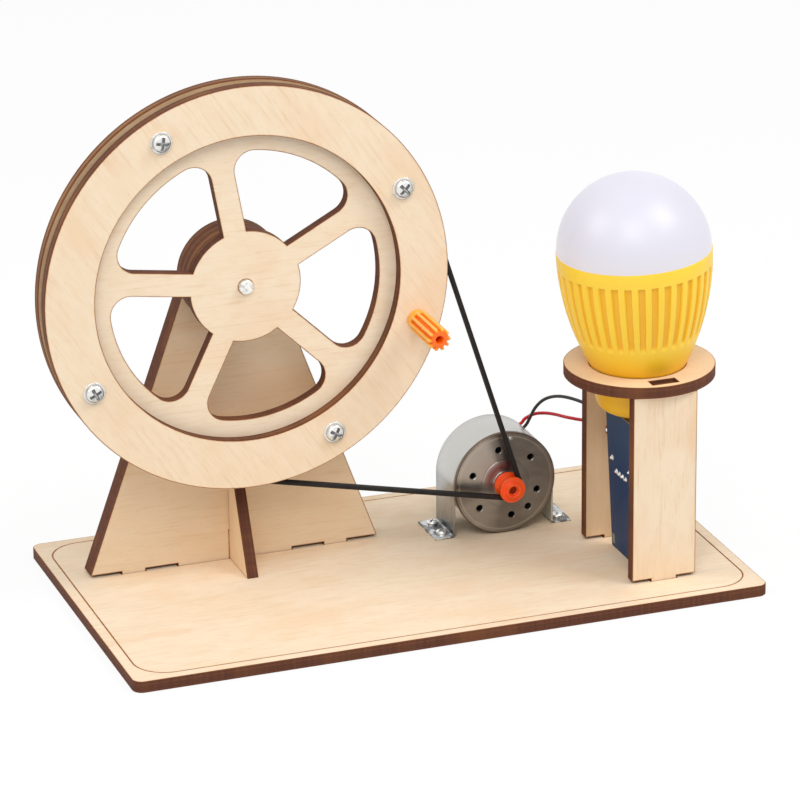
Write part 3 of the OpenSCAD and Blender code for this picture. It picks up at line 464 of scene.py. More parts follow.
# Wheel stand
# Two tall plywood plates, glued face to face, whose slanting sides run into a round head.
# Their tabs sit in the board, and a brace is half lapped across them from below. Three
# plywood discs on the axle fill the room in front of them.
SHOULDER, LAP, HEAD, RUN_PLAY = 0.8, 9, 11.15, 0.06
axle_low, axle_high = cad("wheel_axle")
axle_z, AXLE = (axle_low[2] + axle_high[2]) / 2, (axle_high[2] - axle_low[2]) / 2
shoulder_z, lap_z = board_top + SHOULDER, board_top + LAP
foot = np.array(((stand_high[0] - stand_low[0]) / 2, shoulder_z - axle_z))
lean = math.degrees(math.atan2(foot[1], foot[0]) + math.acos(HEAD / np.linalg.norm(foot)))
notch = PLY / 2 + SLOT_PLAY
outline = [(-foot[0], shoulder_z)]
for at, wide in STAND_TABS:
    outline += [(at - wide / 2, shoulder_z), (at - wide / 2, 0)]
    if at == 0:
        outline += [(-notch, 0), (-notch, lap_z), (notch, lap_z), (notch, 0)]
    outline += [(at + wide / 2, 0), (at + wide / 2, shoulder_z)]
outline.append((foot[0], shoulder_z))
outline = np.vstack([outline, arc((0, axle_z), HEAD, lean, 180 - lean, 40)]) + (stand_x, 0)
axle_hole = circle((stand_x, axle_z), AXLE + RUN_PLAY, 32)
# The stand plates get some painted shade, for the shadow of the wheel on them.
for name, low in (("front", stand_low[1]), ("rear", stand_low[1] + PLY)):
    plywood(f"stand_plate_{name}", "stand", f"stand_{name}_plate", "front", low, outline,
            [axle_hole], warmth=0.5)

brace_low, brace_high = cad("stand_brace")
lap = PLY + SLOT_PLAY
near, far = stand_high[1] - lap, stand_high[1] + lap
# The brace gets painted shade.
plywood("stand_cross_brace", "stand", "stand_brace", "side", brace_high[0],
        [(brace_low[1], board_top), (brace_high[1], board_top), (far, brace_high[2]),
         (far, lap_z), (near, lap_z), (near, brace_high[2])], grain=90, warmth=1.0)

spacer = circle((stand_x, axle_z), cad("spacer_front")[1][0] - stand_x)
for name in ("front", "middle", "rear"):
    plywood(f"spacer_disc_{name}", "stand", f"spacer_{name}", "front",
            cad(f"spacer_{name}")[0][1], spacer, [axle_hole], toasted=0.45)


# Wheel
# Three layers of plywood: a disc with five spokes between two wider rings, which leave the
# groove that the belt runs in. Four screws and the knob's pin clamp them.
ring_low, ring_high = cad("wheel_front_ring")
disc_low, disc_high = cad("wheel_spoke_disc")
back_low = cad("wheel_back_ring")[0]
RING, RING_INNER = ring_high[0] - stand_x, 45.6
DISC, WINDOW, HUB = disc_high[0] - stand_x, 40.4, 16.6
SPOKES, SPOKE_WIDTH, FIRST_SPOKE, WINDOW_CORNER = 5, 7, 28, 5.6
FIXINGS, FIXING_AT, SCREW_SHANK, SCREW_PLAY, JOURNAL = 4, 52.95, 1.5, 0.02, 2.5
knob_low, knob_high = cad("knob_washer")
knob_x, knob_z = ((knob_low + knob_high) / 2)[[0, 2]]
hub_at = np.array((stand_x, axle_z))


def swung(loop, degrees):
    """A flat loop turned about the origin."""
    c, s = math.cos(math.radians(degrees)), math.sin(math.radians(degrees))
    return np.array(loop) @ np.array(((c, s), (-s, c)))


fixing_holes = [swung(circle((FIXING_AT, 0), SCREW_SHANK + SCREW_PLAY, 32),
                      FIRST_SPOKE + 360 * i / FIXINGS) + hub_at for i in range(FIXINGS)]
fixing_holes.append(circle((knob_x, knob_z), JOURNAL + RUN_PLAY, 48))
# Painted shade: heavy on the back ring, whose face shows in the shade of the groove, and slight on
# the front ring.
for name, low, looks in (
        ("front", ring_low[1], {"grain": -56, "warmth": 0.12, "toasted": 0.35}),
        ("back", back_low[1], {"grain": 20, "warmth": 1.75, "toasted": 1})):
    plywood(f"wheel_ring_{name}", "wheel", f"wheel_{name}_ring", "front", low,
            circle(hub_at, RING, 256), [circle(hub_at, RING_INNER, 224)] + fixing_holes, **looks)

half, between = SPOKE_WIDTH / 2, 360 / SPOKES
corner = np.array((math.sqrt((WINDOW - WINDOW_CORNER) ** 2 - (half + WINDOW_CORNER) ** 2),
                   half + WINDOW_CORNER))
corner_way = math.degrees(math.atan2(corner[1], corner[0]))
hub_way = math.degrees(math.asin(half / HUB))
near_corner = arc(corner, WINDOW_CORNER, -90, corner_way, 14)
far_corner = swung(near_corner * (1, -1), between)[::-1]
window = np.vstack([near_corner, arc((0, 0), WINDOW, corner_way, between - corner_way, 40)[1:-1],
                    far_corner, arc((0, 0), HUB, between - hub_way, hub_way, 28)])
windows = [swung(window, FIRST_SPOKE + between * i) + hub_at for i in range(SPOKES)]
plywood("wheel_spokes", "wheel", "wheel_spoke_disc", "front", disc_low[1],
        circle(hub_at, DISC, 256),
        windows + [circle(hub_at, AXLE + SCREW_PLAY, 32)] + fixing_holes)


# Screws and nuts of the rings
# Zinc-plated washer-head screws with a cross recess, and hexagonal nuts behind. One of each is
# modelled, and Geometry Nodes sets four of them on the circle of the fixings.
def turned(profile, steps=64, slot=0, closed=False):
    """A shell: a profile of (radius, height) points turned about Z. A closed profile makes a
    ring; any other begins and ends on the axis."""
    points, rings, faces = [], [], []
    angles = np.linspace(0, 2 * math.pi, steps, endpoint=False)
    for radius, height in profile:
        count = 1 if radius < 1e-6 else steps
        rings.append(range(len(points), len(points) + count))
        points += [(radius * math.cos(a), radius * math.sin(a), height)
                   for a in angles[:count]]
    for a, b in zip(rings, rings[1:] + (rings[:1] if closed else [])):
        for k in range(steps):
            corners = (a[k % len(a)], a[(k + 1) % len(a)], b[(k + 1) % len(b)], b[k % len(b)])
            if len(set(corners)) > 2:
                faces.append(list(dict.fromkeys(corners)))
    return np.array(points), faces, slot


def eased(profile, radius, closed=False, steps=4):
    """The profile with its corners rounded, by less where a side is short."""
    p, made = np.array(profile, float), []
    for k in range(len(p)):
        if not closed and k in (0, len(p) - 1):
            made.append(p[k])
            continue
        ways = [p[k - 1] - p[k], p[(k + 1) % len(p)] - p[k]]
        lengths = [np.linalg.norm(way) for way in ways]
        start, end = (p[k] + way / length * min(radius, 0.45 * min(lengths))
                      for way, length in zip(ways, lengths))
        made += [(1 - t) ** 2 * start + 2 * t * (1 - t) * p[k] + t * t * end
                 for t in np.linspace(0, 1, steps + 1)]
    return np.array(made)


def laid(shell, at=(0, 0, 0), top="z"):
    """A shell made about Z, moved to at with its top along Z or Y."""
    points, faces, slot = shell
    return points[:, (0, 1, 2) if top == "z" else (0, 2, 1)] + np.array(at), faces, slot


RECESS_SHARE, RECESS_WIDTH = 0.74, 0.17


def pan_screw(head, height, shank, length, flange=0.0):
    """Shells of a pan-head screw with a cross recess, its head above z = 0."""
    dome = [(head * t, height * (1.0 - 0.24 * t * t)) for t in np.linspace(0, 0.86, 26)]
    dome += [(head * 0.95, height * 0.72), (head * 0.995, height * 0.56), (head, height * 0.4)]
    brim = head + 1.3 * flange
    rim = [(head, flange), (brim, flange), (brim, 0)] if flange else [(head, 0)]
    points, faces, slot = turned(dome + list(eased(rim, 0.12)) + [(0, 0)], 96)
    x, y = np.abs(points[:, 0]), np.abs(points[:, 1])
    reach, half_arm = head * RECESS_SHARE, head * RECESS_WIDTH
    ease = lambda room: np.clip(room / (0.07 * head), 0, 1)
    pressed = np.maximum(ease(half_arm - y) * ease(reach - x),
                         ease(half_arm - x) * ease(reach - y))
    middle = 1 - 0.5 * np.clip(np.hypot(x, y) / reach, 0, 1)
    points[:, 2] -= np.where(points[:, 2] > 0.5 * height, pressed * middle * 0.8 * height, 0)
    pitch, depth = 0.32 * shank, 0.12 * shank
    thread = [(shank, 0)]
    for z in np.arange(-pitch, -length + pitch, -pitch):
        thread += [(shank, z), (shank - depth, z - pitch / 2)]
    thread = [(0, 0)] + thread + [(shank * 0.6, -length), (0, -length)]
    return [(points, faces, slot), turned(thread, 24)]


def screw(name, head, height, shank, length, flange=0.0):
    """A zinc screw, with its cross and the foot of its head marked for painted shade."""
    made = piece(name, pan_screw(head, height, shank, length, flange), [zinc])
    at = np.array([tuple(v.co) for v in made.data.vertices]) / MM
    x, y = np.abs(at[:, 0]), np.abs(at[:, 1])
    reach, half_arm = head * RECESS_SHARE, head * RECESS_WIDTH
    cross = (((x < reach) & (y < half_arm)) | ((y < reach) & (x < half_arm))) & (at[:, 2] > 0)
    foot = np.hypot(x, y) > 0.97 * head
    foot &= (at[:, 2] < 0.45 * height) & (np.hypot(x, y) < head + 0.3 * flange)
    made.data.attributes.new("recess", "FLOAT", "POINT").data.foreach_set(
        "value", (cross + 0.8 * foot).astype(np.float32))
    return made


def hexagon_nut(across, height, bore, top):
    """A shell of a hexagonal nut with turned corners, its top at z = top."""
    steps, half_flat = 72, across / 2
    angles = np.linspace(0, 2 * math.pi, steps, endpoint=False)
    reach = half_flat / np.cos((angles + math.pi / 6) % (math.pi / 3) - math.pi / 6)
    slant = (reach - 0.96 * half_flat) * 0.5
    levels = [(bore, 0.25, 0), (bore + 0.25, 0, 0), (0.96 * half_flat, 0, 0), (None, slant, 0),
              (None, -slant, height), (0.96 * half_flat, 0, height), (bore + 0.25, 0, height),
              (bore, -0.25, height)]
    points = []
    for radius, rise, base in levels:
        r = reach if radius is None else np.full(steps, radius)
        points.append(np.column_stack((r * np.cos(angles), r * np.sin(angles),
                                       np.zeros(steps) + base + rise + top - height)))
    return loft(points, closed=True)


def loft(rings, slot=0, closed=False):
    """A shell through rings of equally many points. An open one has flat ends."""
    n = len(rings[0])
    faces = []
    for k in range(len(rings) - (not closed)):
        a, b = k * n, (k + 1) % len(rings) * n
        faces += [(a + i, a + (i + 1) % n, b + (i + 1) % n, b + i) for i in range(n)]
    if not closed:
        faces += [tuple(range(n)), tuple(range(len(rings) * n - 1, (len(rings) - 1) * n - 1, -1))]
    return np.vstack(rings), faces, slot


def new_growth(name, **inputs):
    """A Geometry Nodes tree that takes a geometry and the named inputs."""
    tree = bpy.data.node_groups.new(name, "GeometryNodeTree")
    for label, kind in {"Geometry": "Geometry", **inputs, "Finish": "Material"}.items():
        tree.interface.new_socket(label, in_out="INPUT", socket_type="NodeSocket" + kind)
    tree.interface.new_socket("Geometry", in_out="OUTPUT", socket_type="NodeSocketGeometry")
    bench = Bench(tree)
    return bench, {label: bench.node("NodeGroupInput", out=label)
                   for label in ("Geometry", *inputs, "Finish")}


def moved(bench, geometry, turn=(0, 0, 0), to=(0, 0, 0)):
    return bench.node("GeometryNodeTransform", {}, {
        "Geometry": geometry, "Rotation": turn, "Translation": to})


def copies(bench, given, points, step, start):
    """The given piece on every point, each turned by a further step."""
    turn = bench.xyz(z=bench.node("GeometryNodeInputIndex") * step + start)
    return bench.node("GeometryNodeInstanceOnPoints", {}, {
        "Points": points, "Instance": given["Geometry"], "Rotation": turn})


def end_growth(bench, given, geometry):
    """Makes instances real, gives them the finish and ends the tree."""
    real = bench.node("GeometryNodeRealizeInstances", {}, {"Geometry": geometry})
    bench.node("NodeGroupOutput", {}, {"Geometry": bench.node(
        "GeometryNodeSetMaterial", {}, {"Geometry": real, "Material": given["Finish"]})})
    return bench.tree


def grow(made, tree, sharp=32, **values):
    """Runs a growth on a piece, and leaves what it makes as the piece's plain mesh."""
    modifier = made.modifiers.new("growth", "NODES")
    modifier.node_group = tree
    for item in tree.interface.items_tree:
        if item.in_out == "INPUT" and item.name in values:
            modifier[item.identifier] = values[item.name]
    made.update_tag()
    mesh = bpy.data.meshes.new_from_object(
        made.evaluated_get(bpy.context.evaluated_depsgraph_get()))
    made.modifiers.clear()
    made.data = mesh
    smooth(mesh, sharp)
    return made


def metres(*lengths):
    return tuple(float(v) * MM for v in lengths)


ZINC_LIT, ZINC_SHADED, ZINC_RECESS_SHADE = srgb(238, 238, 236), srgb(92, 86, 82), srgb(138, 140, 140)
zinc, bench = new_material("zinc_plate")
at, recess = bench.place(), bench.mark("recess")
cast, skin = bench.grit(at, 700), bench.grit(at, 2600)
normal = bench.node("ShaderNodeNewGeometry", out="Normal")
x, y, z = (bench.part(normal, axis) for axis in "XYZ")
# Painted light: the zinc is lighter where it faces up, left and forward and darker where it faces
# away, broken by a mottle.
tilt = z * 0.7 - x * 0.5 - y * 0.35 + (cast - 0.5) * 0.9
colour = bench.mix(bench.rise(tilt, -0.35, 0.55), ZINC_SHADED, ZINC_LIT)
# Painted shade in the cross recess and round the foot of the head.
colour = bench.mix(recess * 0.5, colour, ZINC_RECESS_SHADE)
bench.surface(colour, 0.2 + skin * 0.12, cast, 0.02, Metallic=1.0 - recess * 0.45)

bench, given = new_growth("fixings_on_a_circle", Count="Int", Radius="Float", Start="Float",
                          Centre="Vector")
points = bench.node("GeometryNodeMeshCircle", {}, {
    "Vertices": given["Count"], "Radius": given["Radius"]})
spun = moved(bench, copies(bench, given, points, 2.2, 0.3), bench.xyz(z=given["Start"]))
fixings_on_a_circle = end_growth(
    bench, given, moved(bench, spun, (math.pi / 2, 0, 0), given["Centre"]))

SCREW_HEAD, SCREW_HEIGHT, SCREW_FLANGE, SCREW_TIP = 2.55, 2.1, 0.5, 16.0
NUT_ACROSS, NUT_HEIGHT = 5.5, 2.4
ring_front, ring_back = ring_low[1], back_low[1] + PLY
screws = screw("ring_screws_zinc", SCREW_HEAD, SCREW_HEIGHT, SCREW_SHANK, SCREW_TIP - ring_front,
               SCREW_FLANGE)
nut = hexagon_nut(NUT_ACROSS, NUT_HEIGHT, SCREW_SHANK, ring_front - ring_back)
for fixing, node in ((screws, "ring_screws"), (piece("ring_nuts_zinc", [nut], [zinc]),
                                               "ring_nuts")):
    grow(fixing, fixings_on_a_circle, Count=FIXINGS, Radius=FIXING_AT * MM,
         Start=math.radians(FIRST_SPOKE), Centre=metres(stand_x, ring_front, axle_z),
         Finish=zinc)
    settle(fixing, "wheel", "zinc", node)


# Axle, bush and collar
# A steel rod through the stand, pressed into the wheel. A white bush keeps the wheel off the
# stand, and a white collar behind keeps the rod in.
STEEL, STEEL_DULL = srgb(208, 207, 205), srgb(150, 148, 146)
steel, bench = new_material("bright_steel")
at = bench.place()
brush, blotch = bench.grit(at, (2600, 60, 60)), bench.grit(at, 220, 3)
colour = bench.mix(bench.rise(blotch, 0.3, 0.7), STEEL, STEEL_DULL)
bench.surface(colour, 0.24 + brush * 0.16, brush, 0.01, Metallic=1.0)


def metal(name, colour, shade, noise, spread, roughness, swing, depth, metallic):
    """Rough metal. One noise brings in the shade over its spread, and swings the roughness."""
    material, bench = new_material(name)
    crust = bench.grit(bench.place(), *noise)
    bench.surface(bench.mix(bench.rise(crust, *spread), colour, shade),
                  roughness + crust * swing, crust, depth, Metallic=metallic)
    return material


def new_plastic(name, cloud_scale=140):
    """A material with its bench, its place, its clouds of shade and its fine skin."""
    material, bench = new_material(name)
    at = bench.place()
    return material, bench, at, bench.grit(at, cloud_scale, 3), bench.grit(at, 2400)


def moulded(name, colour, shade, roughness, **shader):
    """Plain moulded plastic or rubber, faintly clouded with the shade."""
    material, bench, at, clouds, skin = new_plastic(name)
    tint = bench.mix(bench.rise(clouds, 0.3, 0.75), colour, shade)
    bench.surface(tint, roughness + (skin - 0.5) * 0.14, skin, 0.012, **shader)
    return material


def about_line(x, z, profile, edge=0.25, steps=96, closed=False):
    """A shell turned about a line along Y at x and z. Its profile is (radius, y)."""
    return laid(turned(eased(profile, edge, closed), steps, closed=closed), (x, 0, z), "y")


def turned_piece(name, material, body, slot, node, *shell, **more):
    """A piece of one shell that about_line makes."""
    settle(piece(name, [about_line(*shell, **more)], [material]), body, slot, node)


def tube(bore, radius, front, rear):
    return [(bore, front), (radius, front), (radius, rear), (bore, rear)]


axle_steel = metal("axle_steel", srgb(246, 246, 242), srgb(206, 205, 198), (900, 2), (0.4, 0.7),
                   0.4, 0.2, 0.03, 0.7)
turned_piece("wheel_axle_rod", axle_steel, "wheel", "steel", "wheel_axle", stand_x, axle_z,
             tube(0, AXLE, axle_low[1], axle_high[1]), 0.45)
white_plastic = moulded("white_plastic", srgb(236, 234, 226), srgb(222, 219, 208), 0.45)
for node in ("hub_bush", "axle_collar"):
    low, high = cad(node)
    turned_piece(f"{node}_white", white_plastic, "wheel", "white_plastic", node, stand_x, axle_z,
                 tube(AXLE, (high[0] - low[0]) / 2, low[1], high[1]), closed=True)


# Crank knob
# A moulded orange grip with ten rounded teeth and a smooth collar, on a pin through the wheel.
# A screw and a washer hold it from behind, and it turns in the hand as the wheel goes round.
TEETH, TOOTH_ROOT, TOOTH_TIP, KNOB_BORE = 10, 2.4, 3.45, 1.1
KNOB_FRONT, TEETH_BACK, PIN_BACK = -16.4, -0.2, 12.9
COLLAR, COLLAR_FRONT, COLLAR_BACK = 3.1, -0.5, 2.5
KNOB_WAYS = np.linspace(0, 2 * math.pi, 30 * TEETH, endpoint=False)


def knob_ring(radius, y):
    """The knob's section at y, of one radius or of a radius for each way."""
    return np.column_stack((radius * np.cos(KNOB_WAYS), np.full(len(KNOB_WAYS), y),
                            radius * np.sin(KNOB_WAYS)))


def toothed(scale, y):
    """The toothed section at y, its teeth scaled from the root circle outwards."""
    wave = np.cos(TEETH * KNOB_WAYS)
    mask = np.clip((wave + 0.62) / 1.05, 0, 1)
    mask = mask * mask * (3 - 2 * mask)
    crest = TOOTH_TIP - 0.12 * np.clip(1 - wave, 0, 1)
    return knob_ring((TOOTH_ROOT + (crest - TOOTH_ROOT) * mask)
                     - (1 - scale) * (0.35 + 0.5 * mask), y)


ORANGE, ORANGE_CLOUD = srgb(255, 174, 32), srgb(255, 180, 42)
ORANGE_VALLEY_SHADE, ORANGE_CREST_HIGHLIGHT = srgb(255, 112, 10), srgb(255, 194, 100)
orange, bench, at, clouds, skin = new_plastic("orange_plastic", 200)
off = bench.vector_math("SUBTRACT", at, metres(knob_x, 0, knob_z))
off = bench.vector_math("MULTIPLY", off, (1, 0, 1))
across = bench.vector_math("LENGTH", off, out="Value")
# Painted shade deepens the orange in the valleys between the teeth, and a painted highlight
# lightens their crests.
colour = bench.coats(ORANGE, (clouds, 0.3, 0.75, 0.5, ORANGE_CLOUD),
                     (across, 3.1 * MM, 2.35 * MM, 1, ORANGE_VALLEY_SHADE),
                     (across, 3.0 * MM, 3.4 * MM, 0.9, ORANGE_CREST_HIGHLIGHT))
bench.surface(colour, 0.34 + (skin - 0.5) * 0.12, skin, 0.012)
grip = [knob_ring(KNOB_BORE, TEETH_BACK), knob_ring(KNOB_BORE, KNOB_FRONT + 0.3),
        knob_ring(KNOB_BORE + 0.25, KNOB_FRONT)]
grip += [toothed(s, KNOB_FRONT + d) for s, d in ((0.0, 0), (0.45, 0.06), (0.8, 0.22), (1, 0.5))]
grip += [toothed(1, KNOB_FRONT + t * (TEETH_BACK - KNOB_FRONT)) for t in (0.25, 0.5, 0.75, 1)]
shells = [laid(loft(grip, closed=True), (knob_x, 0, knob_z))]
shells += [about_line(knob_x, knob_z, tube(KNOB_BORE, r, front, back), 0.3, closed=True)
           for r, front, back in ((COLLAR, COLLAR_FRONT, COLLAR_BACK),
                                  (JOURNAL, (COLLAR_FRONT + COLLAR_BACK) / 2, PIN_BACK))]
settle(piece("crank_knob_orange", shells, [orange], 40), "crank", "orange_plastic", "crank_knob")

turned_piece("knob_washer_zinc", zinc, "crank", "zinc", "knob_washer", knob_x, knob_z,
             tube(KNOB_BORE, (knob_high[0] - knob_low[0]) / 2, knob_low[1], knob_high[1]), 0.15,
             closed=True)
low, high = cad("knob_screw")
SHANK_IN_KNOB = 1.0
shells = [laid(shell, (knob_x, knob_high[1], knob_z), "y")
          for shell in pan_screw((high[0] - low[0]) / 2, high[1] - knob_high[1], SHANK_IN_KNOB,
                                 knob_high[1] - low[1])]
settle(piece("knob_screw_zinc", shells, [zinc]), "crank", "zinc", "knob_screw")


# Drive belt
# A flat band of black rubber, round the wheel in its groove and round the motor's pulley.
# Geometry Nodes sweeps its rounded section along the loop, which is laid flat and stood up.
motor_low, motor_high = cad("motor_front_plate")
motor_x, motor_z = ((motor_low + motor_high) / 2)[[0, 2]]
belt_low, belt_high = cad("drive_belt")
BELT_THICK, BELT_ON_WHEEL, BELT_ON_PULLEY = 1.2, 57.86, 2.86
bench, given = new_growth("band_along_a_loop", Width="Float", Height="Float", Edge="Float",
                          Place="Vector")
path = bench.node("GeometryNodeSetCurveNormal", {"mode": "Z_UP"}, {
    "Curve": bench.node("GeometryNodeMeshToCurve", {}, {"Mesh": given["Geometry"]})})
section = bench.node("GeometryNodeFilletCurve", {"mode": "POLY"}, {
    "Curve": bench.node("GeometryNodeCurvePrimitiveQuadrilateral", {}, {
        "Width": given["Width"], "Height": given["Height"]}),
    "Count": 3, "Radius": given["Edge"]})
band = bench.node("GeometryNodeCurveToMesh", {}, {"Curve": path, "Profile Curve": section})
band_along_a_loop = end_growth(
    bench, given, moved(bench, band, (math.pi / 2, 0, 0), given["Place"]))

way = np.array((motor_x - stand_x, motor_z - axle_z))
reach = np.linalg.norm(way)
heading = math.degrees(math.atan2(way[1], way[0]))
opening = math.degrees(math.acos((BELT_ON_WHEEL - BELT_ON_PULLEY) / reach))
loop = np.vstack([
    arc((0, 0), BELT_ON_WHEEL + BELT_THICK / 2, heading + opening, heading - opening + 360, 160),
    arc(way, BELT_ON_PULLEY + BELT_THICK / 2, heading - opening, heading + opening, 24)])
mesh = bpy.data.meshes.new("belt_path")
mesh.from_pydata([(x * MM, y * MM, 0) for x, y in loop],
                 [(k, (k + 1) % len(loop)) for k in range(len(loop))], [])
belt = in_scene("drive_belt_rubber", mesh)
rubber = moulded("black_rubber", srgb(38, 35, 34), srgb(44, 41, 39), 0.7,
                 Specular_IOR_Level=0.2)
grow(belt, band_along_a_loop, 40, Width=BELT_THICK * MM,
     Height=float(belt_high[1] - belt_low[1]) * MM, Edge=0.25 * MM,
     Place=metres(stand_x, (belt_low[1] + belt_high[1]) / 2, axle_z), Finish=rubber)
settle(belt, "stand", "rubber", "drive_belt")


# Motor
# A small direct-current motor in a steel can. Its stamped front plate has vents round a raised
# step, and its white rear cap holds two soldered tags. Inside are magnets and a wound rotor.
VENTS, VENT_AT, VENT, FIRST_VENT, PILOT_AT, PILOT_WAY = 6, 10.75, 1.0, 101, 11.35, -49.7
CRIMP_AT, CRIMP, CRIMP_WAY = 14.4, 1.3, 7.65
PLATE_FRONT, PLATE_STEP_FRONT, BOSS_FRONT, PLATE_STEP, BOSS = 11.2, 10.85, 10.5, 7.5, 4.1
motor_at = np.array((motor_x, motor_z))
PLATE = (motor_high[0] - motor_low[0]) / 2
bearing = (cad("motor_bearing")[1] - cad("motor_bearing")[0])[0] / 2


def around_motor(distance, angle):
    return motor_at + distance * np.array((math.cos(math.radians(angle)),
                                           math.sin(math.radians(angle))))


def about_motor(bench):
    """Angle about the motor's axis, distance from it in millimetres, and the place."""
    at = bench.place()
    x, z = bench.part(at, "X") / MM - float(motor_x), bench.part(at, "Z") / MM - float(motor_z)
    return bench.math("ARCTAN2", z, x), bench.math("SQRT", x * x + z * z), at


PLATE_DULL, PLATE_GLARE, PLATE_DARK_REFLECTION = srgb(126, 121, 115), srgb(181, 176, 170), srgb(40, 36, 36)
PLATE_PULLEY_REFLECTION, PLATE_LIP_HIGHLIGHT, PLATE_RIM = srgb(128, 62, 58), srgb(204, 196, 180), srgb(92, 66, 44)
plate_steel, bench = new_material("motor_plate_steel")
angle, distance, at = about_motor(bench)
turnings = bench.grit(bench.xyz(distance * 9, bench.math("COSINE", angle) * 1.2,
                                bench.math("SINE", angle) * 1.2), 1)
smears = bench.grit(at, (240, 240, 420), 3, (0, 0.5, 0))
# Painted reflections: light wedges (the glare) and dark wedges round the axis stand for the room
# mirrored in the brushed steel, over its real turning marks and smears.
glare = sum(bench.rise(bench.towards(angle, way), start, end) * share
            for way, start, end, share in ((2.46, 0.78, 0.94, 1), (-2.48, 0.70, 0.93, 0.5),
                                           (0, 0.2, 0.9, 0.22)))
tone = glare + (turnings - 0.5) * 0.3 + (smears - 0.5) * 0.5
dark_reflections = bench.beam(angle, -2.98, 40) * bench.rise(distance, 6, 9) * 0.5
dark_reflections = dark_reflections + bench.beam(angle, 1.50, 34) * bench.rise(distance, 15.5, 7) * 0.6
# A reddish painted reflection of the pulley beside the boss.
pulley_reflection = bench.band(distance, 4.3, 5.4, 6.0, 8.0) * bench.rise(bench.towards(angle, 2.2), 0.25, 0.9)
colour = bench.mix(tone, PLATE_DULL, PLATE_GLARE)
colour = bench.mix(bench.math("MINIMUM", dark_reflections, 0.85), colour, PLATE_DARK_REFLECTION)
colour = bench.mix(pulley_reflection * 0.6, colour, PLATE_PULLEY_REFLECTION)
# A painted highlight on a thin ring near the rim.
colour = bench.mix(bench.band(distance, 14.2, 14.5, 14.7, 15.0) * 0.35, colour, PLATE_LIP_HIGHLIGHT)
colour = bench.coats(colour, (distance, 15.45, 15.75, 0.85, PLATE_RIM))
bench.surface(colour, 0.36 + (smears - 0.5) * 0.2, turnings, 0.012, Metallic=0.85)

holes = [circle(around_motor(VENT_AT, FIRST_VENT + 360 * i / VENTS), VENT, 32)
         for i in range(VENTS)]
holes += [circle(around_motor(PILOT_AT, PILOT_WAY), VENT, 32),
          circle(motor_at, bearing + RUN_PLAY, 48)]
plate = cut_sheet("motor_plate", "front", PLATE_FRONT, motor_high[1] - PLATE_FRONT,
                  circle(motor_at, PLATE, 160), holes, [plate_steel, plate_steel], bevel=0.2)
steps = [about_line(motor_x, motor_z, tube(bearing + RUN_PLAY, r, front, PLATE_FRONT + 0.3), 0.3,
                    closed=True)
         for r, front in ((PLATE_STEP, PLATE_STEP_FRONT), (BOSS, BOSS_FRONT))]
crimps = []
for side, tilt, slot in ((-1, 0.5, 1), (1, -0.35, 0)):
    middle = around_motor(CRIMP_AT, 90 + side * CRIMP_WAY)
    loop = box_loop(middle, CRIMP, CRIMP, 0.3, 3)
    crimps.append(loft([np.column_stack((ring[:, 0], y + tilt * (ring[:, 1] - middle[1]),
                                         ring[:, 1]))
                        for ring, y in ((loop, PLATE_FRONT + 0.5), (loop, PLATE_FRONT - 0.02),
                                        (inset(loop, 0.3), PLATE_FRONT - 0.12))], slot))
for made in (plate, piece("motor_plate_boss", steps, [plate_steel]),
             piece("motor_plate_crimps", crimps, [plate_steel, steel])):
    settle(made, "stand", "motor_plate", "motor_front_plate")

can_low, can_high = cad("motor_can")
CAN, CAN_WALL, REAR_CAP = (can_high[0] - can_low[0]) / 2, 0.8, 11
turned_piece("motor_can_steel", steel, "stand", "steel", "motor_can", motor_x, motor_z,
             [(CAN - CAN_WALL, can_low[1]), (CAN, can_low[1]), (CAN, can_high[1]),
              (REAR_CAP + 0.02, can_high[1]), (REAR_CAP + 0.02, can_high[1] - CAN_WALL),
              (CAN - CAN_WALL, can_high[1] - CAN_WALL)], 0.7, 128, closed=True)
REAR_BOSS, REAR_PROUD, REAR_BOSS_BACK, DIMPLE, DIMPLE_DEPTH = 3.4, 1.2, 31.4, 1.2, 0.6
rear = can_high[1] + REAR_PROUD
turned_piece("motor_rear_cap_white", white_plastic, "stand", "white_plastic", "motor_rear_cap",
             motor_x, motor_z,
             [(0, can_high[1] - CAN_WALL), (REAR_CAP, can_high[1] - CAN_WALL), (REAR_CAP, rear),
              (REAR_BOSS, rear), (REAR_BOSS, REAR_BOSS_BACK), (DIMPLE, REAR_BOSS_BACK),
              (DIMPLE, REAR_BOSS_BACK - DIMPLE_DEPTH), (0, REAR_BOSS_BACK - DIMPLE_DEPTH)], 0.35)
TAG_AT, TAG_WAYS, TAG_WIDTH, TAG_THICK, TAG_LENGTH = 9.4, (52, 22), 2, 0.5, 1.6
DROP, DROP_LENGTH = 0.8, 0.8
copper = metal("tinned_copper", srgb(205, 196, 184), srgb(184, 122, 78), (420, 3), (0.35, 0.7),
               0.3, 0.15, 0.02, 0.9)
solder = metal("solder", srgb(236, 236, 238), srgb(176, 176, 182), (700, 2), (0.35, 0.7),
               0.22, 0.2, 0.04, 0.8)
shells = []
end = rear + TAG_LENGTH
drop = [(0, end - 0.5), (DROP * 0.55, end - 0.45), (DROP, end - 0.05),
        (DROP * 0.98, end + 0.3), (DROP * 0.75, end + 0.62),
        (DROP * 0.45, end + DROP_LENGTH - 0.04), (0, end + DROP_LENGTH)]
for angle in TAG_WAYS:
    x, z = around_motor(TAG_AT, angle)
    tag = swung(box_loop((0, 0), TAG_THICK, TAG_WIDTH, 0.15, 3), angle)
    shells.append(loft([np.column_stack((tag[:, 0] + x, np.full(len(tag), y), tag[:, 1] + z))
                        for y in (rear - 0.1, end)]))
    shells.append(laid(turned(drop, 32, 1), (x, 0, z), "y"))
settle(piece("motor_tags", shells, [copper, solder]), "stand", "copper", "motor_terminals")

